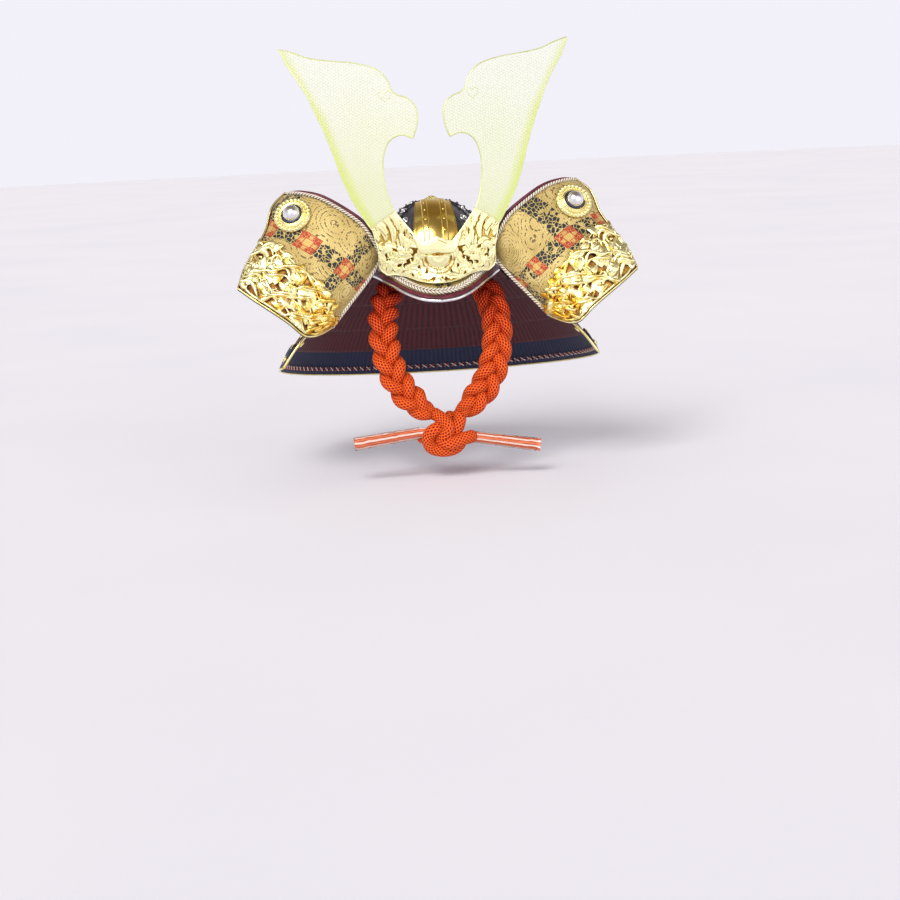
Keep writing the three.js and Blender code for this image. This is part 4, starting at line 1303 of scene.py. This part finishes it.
for name, side in (("left", -1), ("right", 1)):
    bm = bmesh.new()
    shell(bm, (36, 32), (60, 60), lambda u, v, lift: on_wing(u, v, lift, side), wing_wall)
    top_line = [on_wing(0.995 - 0.99 * k / 60, 0.0, -0.35, side) for k in range(61)]
    fold_line = [on_wing(0.0, k / 60, -0.35, side) for k in range(1, 61)]
    tube(bm, even(top_line + fold_line, 1.0 * mm), 1.3 * mm, 10)
    piece("wing_leather_" + name, bm, [leather], ["turnback_" + name])

    bm = bmesh.new()

    def panel(u, v, lift, side=side):
        n = brocade_inset + u * (0.982 - brocade_inset)
        t = brocade_inset + v * (0.982 - brocade_inset)
        soft = 0.2 * min(1, 12 * u, 12 * (1 - u), 12 * v, 12 * (1 - v))
        return on_wing(n, t, air + brocade_wall - 0.15 + soft + lift, side)

    shell(bm, (48, 48), (68, 62), panel, brocade_wall)
    # Each panel is cut from the cloth with a flower near its middle.
    cut = Vector((22.6, 23.1) if side < 0 else (45.2, 28.0))
    laid = bm.loops.layers.uv.verify()
    for face in bm.faces:
        for loop in face.loops:
            loop[laid].uv -= cut
    piece("wing_brocade_" + name, bm, [brocade], ["brocade_" + name])

    bm = bmesh.new()
    edging_high = air + 0.9
    line = [on_wing(0.965 - 0.935 * k / 80, 0.031, edging_high, side) for k in range(81)]
    line += [on_wing(0.03, 0.031 + 0.942 * k / 80, edging_high, side) for k in range(1, 81)]
    twisted(
        bm, even(line, 0.45 * mm), 4, 0.6 * mm, 4.6 * mm, (0.68 * mm, 0.42 * mm, 0.68 * mm, 0.42 * mm), 8,
        (0, 1, 0, 1),
    )
    # Running stitches along the fold hold the facing down.
    for k in range(24):
        t = 0.05 + 0.9 * k / 23
        short = [on_wing(0.05 + 0.006 * s, t + 0.011 * s, 1.15, side) for s in (-1, 0, 1)]
        tube(bm, short, 0.4 * mm, 5)
    piece("wing_edging_" + name, bm, [cream, brown], ["edging_" + name])

    bm = bmesh.new()
    low_line = [on_wing(k / 80, 1.0, 0.6, side) for k in range(81)]
    out_line = [on_wing(1.0, 1 - k / 80, 0.6, side) for k in range(1, 81)]
    tube(bm, even(low_line + out_line, 1.0 * mm), 0.7 * mm, 8)
    # Black lacquer shows as a thin dark line beside the gilt wire of the lower edge.
    under = [on_wing(k / 80, 1.0, -1.0, side) for k in range(81)]
    tube(bm, even(under, 1.0 * mm), 0.8 * mm, 8, 1)
    piece("wing_rim_" + name, bm, [gilt, lacquer])

# Wing fittings. A pierced gilt casting of scrolls and flowers is pinned over the lower and
# outer edge of each wing, and a boss of beaded rings round a silvered dome near its corner.
navy_enamel = clouded(
    "fired_navy_enamel", {"Roughness": 0.15, "Coat Weight": 0.5, "IOR": 1.5},
    300, 2, ((0.3, "#10162E"), (0.7, "#2A3358")),
)

# The casting is not cut through: a dark sheet lies under the vines, painted shade standing for the holes
# between them, with some gilt tone in it.
hole_shade = clouded(
    "shaded_gilt_hollows", {"Metallic": 0.5, "Roughness": 0.55},
    190, 3, ((0.38, "#40180C"), (0.5, "#8A561A"), (0.64, "#C6943A")),
)

# Fire gilding on the raised vines: rich yellow gold, amber near the fold and pale towards the outer end:
# painted shade where the fold shades the casting, painted light further out.
fire_gilt, tree, shader = new_material("fire_gilt_casting", {"Metallic": 1.0, "Roughness": 0.3})
place = add(tree, "TexCoord").outputs["Object"]
cloud = add(tree, "TexNoise", {"Vector": place, "Scale": 170.0, "Detail": 4.0})
# Amber near the fold, pale outwards: painted shade and light read from how far out the vine lies.
outer = add(
    tree, "Math", {0: add(tree, "SeparateXYZ", {"Vector": place}).outputs["X"]}, operation="ABSOLUTE",
)
outer = add(tree, "Math", {0: outer, 1: 4.0, 2: cloud}, operation="MULTIPLY_ADD")
wire(
    tree,
    add(tree, "ValToRGB", {"Fac": outer}, stops=((0.7, "#C88E26"), (0.82, "#EBCB68"), (0.95, "#FAF1BA"))),
    shader, "Base Color",
)
grain = add(tree, "TexNoise", {"Vector": place, "Scale": 700.0, "Detail": 2.0})
wire(tree, add(tree, "Bump", {"Height": grain, "Distance": 0.0002, "Strength": 0.6}), shader, "Normal")

mount_upper = [0.86, 0.72, 0.66, 0.63, 0.61, 0.6, 0.57, 0.53, 0.56]
mount_lower = [0.87, 0.97, 0.982, 0.982, 0.982, 0.982, 0.982, 0.982, 0.95]
mount_scrolls = [
    (0.3, 0.76, 0.045, 90, -1.2), (0.46, 0.7, 0.045, 40, 1.2), (0.62, 0.68, 0.045, 250, 1.2),
    (0.78, 0.64, 0.045, 60, -1.2), (0.38, 0.9, 0.045, 200, 1.2), (0.54, 0.87, 0.045, 320, 1.2),
    (0.7, 0.86, 0.045, 180, -1.2), (0.86, 0.84, 0.045, 220, 1.2), (0.9, 0.68, 0.045, 330, -1.2),
]


def mount_spot(u, v):
    """A place on the mount: u runs along it from the fold, v across it from its upper edge."""
    upper, lower = read(mount_upper, u), read(mount_lower, u)
    return 0.125 + 0.86 * u, upper + (lower - upper) * v


boss_n = 0.8
boss_t = 0.25
for name, side in (("left", -1), ("right", 1)):
    spread = 64.0

    def on_mount(x, z, lift, side=side):
        return on_wing(min(x / spread, 0.995), min(z / spread, 0.995), lift + 2.0, side)

    bm = bmesh.new()

    # The ground is one dark sheet under the vines, painted shade where the casting would be pierced.
    def mount_ground(u, v, lift):
        n, t = mount_spot(u, v)
        return on_wing(n, t, lift + 2.4, side)

    shell(bm, (60, 20), (56, 24), mount_ground, 0.6, 1)
    # Thick vines wander along the casting and cross each other, so that eyes open between them.
    for strand in range(9):
        vine = []
        for k in range(97):
            u = k / 96
            turn = tau * (u * (3.3 + 0.37 * (strand % 3)) + 0.5 * strand)
            turn += 0.9 * sin(7 * u + strand)
            v = 0.1 + 0.8 * strand / 8 + 0.1 * sin(turn)
            n, t = mount_spot(u, v)
            vine.append(on_wing(n, t, 3.4 + 0.9 * cos(turn), side))
        tube(bm, even(vine, 0.7 * mm), lambda s: 1.5 * mm * (0.85 + 0.3 * sin(37 * s)), 8, 0)
    for n, t, size, start, turns in mount_scrolls:
        scroll(bm, on_mount, n * spread, t * spread, size * spread, start, turns, 0.95, 1, 0, 1.0)
    # Leaves curl over the upper edge and lie along the vines.
    for k in range(10):
        n, t = mount_spot((k + 0.5) / 10, 0.08)
        leaf(bm, on_mount, n * spread, t * spread, (-40, -150, -75)[k % 3], 5.2, 1.7, 0, 1.2)
    for k in range(66):
        n, t = mount_spot((k * 0.382 + 0.07) % 0.96, 0.08 + (k * 0.618) % 0.86)
        leaf(bm, on_mount, n * spread, t * spread, k * 137.5, 6.0, 2.0, 0, 1.2 + 0.35 * (k % 3))
    for n, t in ((0.4, 0.79), (0.62, 0.77), (0.74, 0.75), (0.88, 0.76), (0.24, 0.86)):
        for petal_turn in range(5):
            leaf(bm, on_mount, n * spread, t * spread, 72 * petal_turn, 2.8, 1.3, 0, 1.9)
        dome(bm, *footing(on_mount, n * spread, t * spread, 2.1, 4), 0.8, 0.8, 0, 3, 8)
    border = [mount_spot(k / 60, 0) for k in range(61)] + [mount_spot(k / 60, 1) for k in range(60, -1, -1)]
    border = [on_wing(n, t, 2.6, side) for n, t in border + border[:1]]
    tube(bm, even(border, 1.0 * mm), 0.85 * mm, 7)
    piece("mount_casting_" + name, bm, [fire_gilt, hole_shade], ["mount_" + name])

    base = on_wing(boss_n, boss_t, brocade_wall + air, side)
    out = on_wing(boss_n, boss_t, 5, side) - on_wing(boss_n, boss_t, 0, side)
    out.normalize()
    bm = bmesh.new()
    profile = [
        (0, 0), (12.2, 0), (13, 0.6), (13.1, 1.2), (12.6, 1.6), (10.2, 1.9), (10.0, 2.4), (9.4, 2.9),
        (8.8, 2.9), (8.4, 2.4), (8.1, 3.0), (7.7, 3.2), (7.4, 3.0), (7.2, 2.2), (0, 2.2),
    ]
    turned(bm, profile, 72, base, out)
    turn_up = Vector((0, 0, 1)).rotation_difference(out).to_matrix()
    for ring_r, high, bead, count in ((11.5, 1.4, 1.42, 26), (9.2, 2.6, 0.6, 44)):
        for k in range(count):
            spin_turn = tau * k / count
            spot = Vector((ring_r * cos(spin_turn), ring_r * sin(spin_turn), high)) * mm
            dome(bm, base + turn_up @ spot, out, bead, bead, 1, 4, 10)
    piece("boss_rings_" + name, bm, [gilt, cast_gilt], ["boss_" + name])
    bm = bmesh.new()
    profile = [(0, 0), (7.0, 0), (7.1, 0.8), (6.6, 1.7), (6.2, 1.8)]
    turned(bm, profile + [(0, 1.8)], 48, base + out * (2.3 * mm), out, 1)
    dome(bm, base + out * (4.1 * mm), out, 5.9, 4.6, 0, 8, 40)
    piece("boss_dome_" + name, bm, [silver, navy_enamel], ["dome_" + name])

# Chin cord. A round woven vermilion cord is plaited on itself on each side, hung from a ring
# inside the band, tied under the chin, and its two free ends are kept in clear film sleeves.
strand_radius = 4.2
plait_pitch = 43
plait_half_width = 6.7
plait_half_depth = 4.2
braid_route = [
    (34.2, -7.4, -12.7), (34.2, -7.9, -16.5), (35.6, -13, -22), (37.6, -19.5, -28.5), (39.3, -25.5, -35.5),
    (40, -31, -43), (39.5, -35.5, -53), (37.8, -39.5, -63), (34.9, -43, -73), (29.8, -46, -83),
    (23.2, -48.7, -91.5), (16.6, -50.6, -97.6), (10.3, -51.7, -102.4),
]
tail_routes = {
    "left": [
        (-12.6, -52.2, -114.0), (-19.1, -52.6, -114.6), (-34, -53.6, -116), (-49, -54.4, -117.6),
        (-64.5, -55, -119.4),
    ],
    "right": [
        (12.6, -52.2, -118.3), (18.9, -52.6, -119.3), (34, -53.6, -121.9), (49, -54.4, -124.6),
        (64.5, -55, -127.3),
    ],
}

# Vermilion silk, woven round: bright raised stitches run both ways round the cord, and the
# small gaps between them are pits of deep red shade.
vermilion, tree, shader = new_material(
    "round_woven_vermilion_silk", {"Roughness": 0.6, "Specular IOR Level": 0.25}
)
woven = add(tree, "TexCoord").outputs["UV"]
# Eleven pits go round the cord, and they lie 2.6 mm apart along it.
pits_round = 11
pit_gap = 2.6
wave_scale = 0.31416 * sqrt(2)
bands = []
for turn in (45, -45):
    laid = {"Scale": (pits_round, 1 / pit_gap, 1), "Rotation": (0, 0, radians(turn))}
    slant = add(tree, "Mapping", {"Vector": woven, **laid})
    bands.append(add(tree, "TexWave", {"Vector": slant, "Scale": wave_scale}).outputs["Fac"])
lattice = add(tree, "Math", {0: bands[0], 1: bands[1]}, operation="MAXIMUM")
stitch = add(tree, "Math", {0: bands[0], 1: bands[1]}, operation="ADD")
lattice = add(tree, "Math", {0: lattice, 1: 0.55}, operation="MULTIPLY")
lattice = add(tree, "Math", {0: stitch, 1: 0.48, 2: lattice}, operation="MULTIPLY_ADD")
place = add(tree, "TexCoord").outputs["Object"]
mottle = add(tree, "TexNoise", {"Vector": place, "Scale": 300.0, "Detail": 3.0})
tone = add(tree, "Math", {0: mottle, 1: 0.3, 2: lattice}, operation="MULTIPLY_ADD")
# Up under the visor the silk is drawn deeper red towards the top: painted shade from the visor and wings
# above.
high = add(tree, "SeparateXYZ", {"Vector": place}).outputs["Z"]
painted_shade_range = {"From Min": -0.1, "From Max": -0.058, "To Min": 0.0, "To Max": -0.42}
high = add(tree, "MapRange", {"Value": high, **painted_shade_range})
tone = add(tree, "Math", {0: tone, 1: high}, operation="ADD")
reds = ((0.4, "#8C0C08"), (0.78, "#C4220C"), (1.12, "#E03E0D"), (1.55, "#FA6A22"))
wire(tree, add(tree, "ValToRGB", {"Fac": tone}, stops=reds), shader, "Base Color")
wire(tree, add(tree, "Bump", {"Height": lattice, "Distance": 0.0007, "Strength": 1.0}), shader, "Normal")

front = Vector((0, -1, 0))
for name, side in (("left", -1), ("right", 1)):
    centre = even(smooth([at(side * x, y, z) for x, y, z in braid_route], 240), 1.2 * mm)
    steps = framed(centre, front)
    total = steps[-1][3]
    bm = bmesh.new()
    for strand in range(3):
        route = []
        for point, beside, forward, walked in steps:
            phase = side * tau * (walked / (plait_pitch * mm)) + tau * strand / 3
            ends = min(1, 0.35 + walked / (14 * mm), 0.3 + (total - walked) / (24 * mm))
            route.append(
                point
                + beside * (plait_half_width * mm * ends * sin(phase))
                + forward * (plait_half_depth * mm * ends * sin(2 * phase))
            )
        tube(
            bm, route, lambda s: strand_radius * mm * min(1, 0.55 + 6 * s, 0.7 + 8 * (1 - s)), 20,
            front=front,
        )
    piece("plait_" + name, bm, [vermilion], ["braid_" + name])

# The knot: the left cord comes over the front and loops round the left and along the foot.
bm = bmesh.new()
knot_strands = [
    [
        (-9.5, -49, -101), (-3, -55, -105), (0.8, -58.5, -110.5),
        (-1.5, -58, -116), (-6, -53, -119.5), (-9, -47, -120),
    ],
    [
        (-1, -48, -110.5), (-5, -54.5, -111), (-9, -57.5, -112), (-12.6, -57, -115.5),
        (-13.2, -56, -120.5), (-10.8, -55.5, -125), (-5, -55.5, -127), (1.6, -55, -127),
        (6.6, -52, -125.6), (10, -47.5, -123),
    ],
    [
        (-7.5, -51, -117), (-4, -55.5, -120), (0.5, -59, -121.8), (6, -59.2, -120.8),
        (11, -57.5, -119.4), (15.6, -55, -118.8), (19, -53, -118.4),
    ],
    [(9.5, -48, -101), (9.5, -52.5, -106), (7.5, -54.5, -111.5), (4.5, -53, -116.5), (2, -48, -120)],
    [
        (0, -46, -104), (5, -45, -108), (0, -45, -113), (-6, -45, -116),
        (-14, -48, -117.6), (-19, -52, -117.6),
    ],
]
for points in knot_strands:
    route = even(smooth([at(*p) for p in points], 60), 1.0 * mm)
    tube(bm, route, lambda s: 4.55 * mm * min(1, 0.75 + 5 * s, 0.8 + 5 * (1 - s)), 20, front=None)
knot = piece("tied_knot", bm, [vermilion], ["knot"])

# Coral cord inside the sleeves: the same weave, flattened, with pale lines along it that are painted
# highlights of the film over it.
coral, tree, shader = new_material("round_woven_coral_silk", {"Roughness": 0.6})
woven = add(tree, "TexCoord").outputs["UV"]
ribs = add(tree, "Mapping", {"Vector": woven, "Scale": (12, 0.4, 1)})
ply = add(tree, "TexWave", {"Vector": ribs, "Scale": 0.31, "Distortion": 1.0})
waver = add(
    tree, "TexNoise",
    {"Vector": add(tree, "Mapping", {"Vector": woven, "Scale": (0, 0.09, 1)}), "Scale": 1.0},
)
around = add(tree, "SeparateXYZ", {"Vector": woven}).outputs["X"]
around = add(tree, "Math", {0: waver, 1: 0.09, 2: around}, operation="MULTIPLY_ADD")
# Pale lines along the cord are painted highlights of the film over it.
painted_highlight_streak = add(tree, "Math", {0: around, 1: 0.085}, operation="PINGPONG")
painted_highlight_streak = add(
    tree, "MapRange", {"Value": painted_highlight_streak, "From Min": 0.02, "From Max": 0.034, "To Min": 1.0, "To Max": 0.0},
)
body = add(tree, "ValToRGB", {"Fac": ply.outputs["Fac"]}, stops=((0.1, "#D05A30"), (0.7, "#EA865C")))
tone_and_painted_light = add(tree, "Mix", {"Factor": painted_highlight_streak, 6: body, 7: linear("#FFF6F0")}, data_type="RGBA")
wire(tree, tone_and_painted_light.outputs[2], shader, "Base Color")

# Clear film, drawn tight over the cord: glossy, thin and creased lengthways.
film, tree, shader = new_material(
    "clear_drawn_film",
    {"Roughness": 0.05, "Transmission Weight": 1.0, "IOR": 1.2, "Base Color": linear("#FFF6F0")},
)
creases = add(tree, "Mapping", {"Vector": add(tree, "TexCoord").outputs["UV"], "Scale": (7, 0.06, 1)})
crease = add(tree, "TexNoise", {"Vector": creases, "Scale": 1.5, "Detail": 2.0})
wire(tree, add(tree, "Bump", {"Height": crease, "Distance": 0.0006, "Strength": 0.5}), shader, "Normal")

for name, side in (("left", -1), ("right", 1)):
    centre = even([at(*point) for point in tail_routes[name]], 0.8 * mm)
    bm = bmesh.new()
    tube(
        bm, centre,
        lambda s: 3.6 * mm * (0.94 + 0.2 * s + (0 if s < 0.95 or side < 0 else 3.2 * (s - 0.95))), 24,
    )
    tail = piece("free_end_" + name, bm, [coral], ["tail_" + name])
    bm = bmesh.new()
    tube(bm, centre[8 : -3 if side > 0 else None], lambda s: 4.1 * mm * (1 + 0.16 * s), 28)
    caps = [f for f in bm.faces if len(f.verts) > 4]
    bmesh.ops.delete(bm, geom=caps, context="FACES_ONLY")
    bmesh.ops.solidify(bm, geom=list(bm.faces), thickness=0.15 * mm)
    sleeve = piece("film_sleeve_" + name, bm, [film])

# Rings. A gilt wire ring on a small staple inside the band carries each side of the cord.
bm = bmesh.new()
for side in (-1, 1):
    hang = braid_route[0]
    wall = sqrt(bowl_inner**2 - hang[1] ** 2)
    centre = at(side * (wall - 4.2 - air), hang[1], hang[2] + 4.2 + air)
    bends = [radians(45 * k) for k in range(9)]
    profile = [(3.4 + 0.8 * cos(bend), 0.8 * sin(bend)) for bend in bends]
    turned(bm, profile, 40, centre, Vector((0, 1, 0)))
piece("cord_rings", bm, [gilt], ["ring_left", "ring_right"])
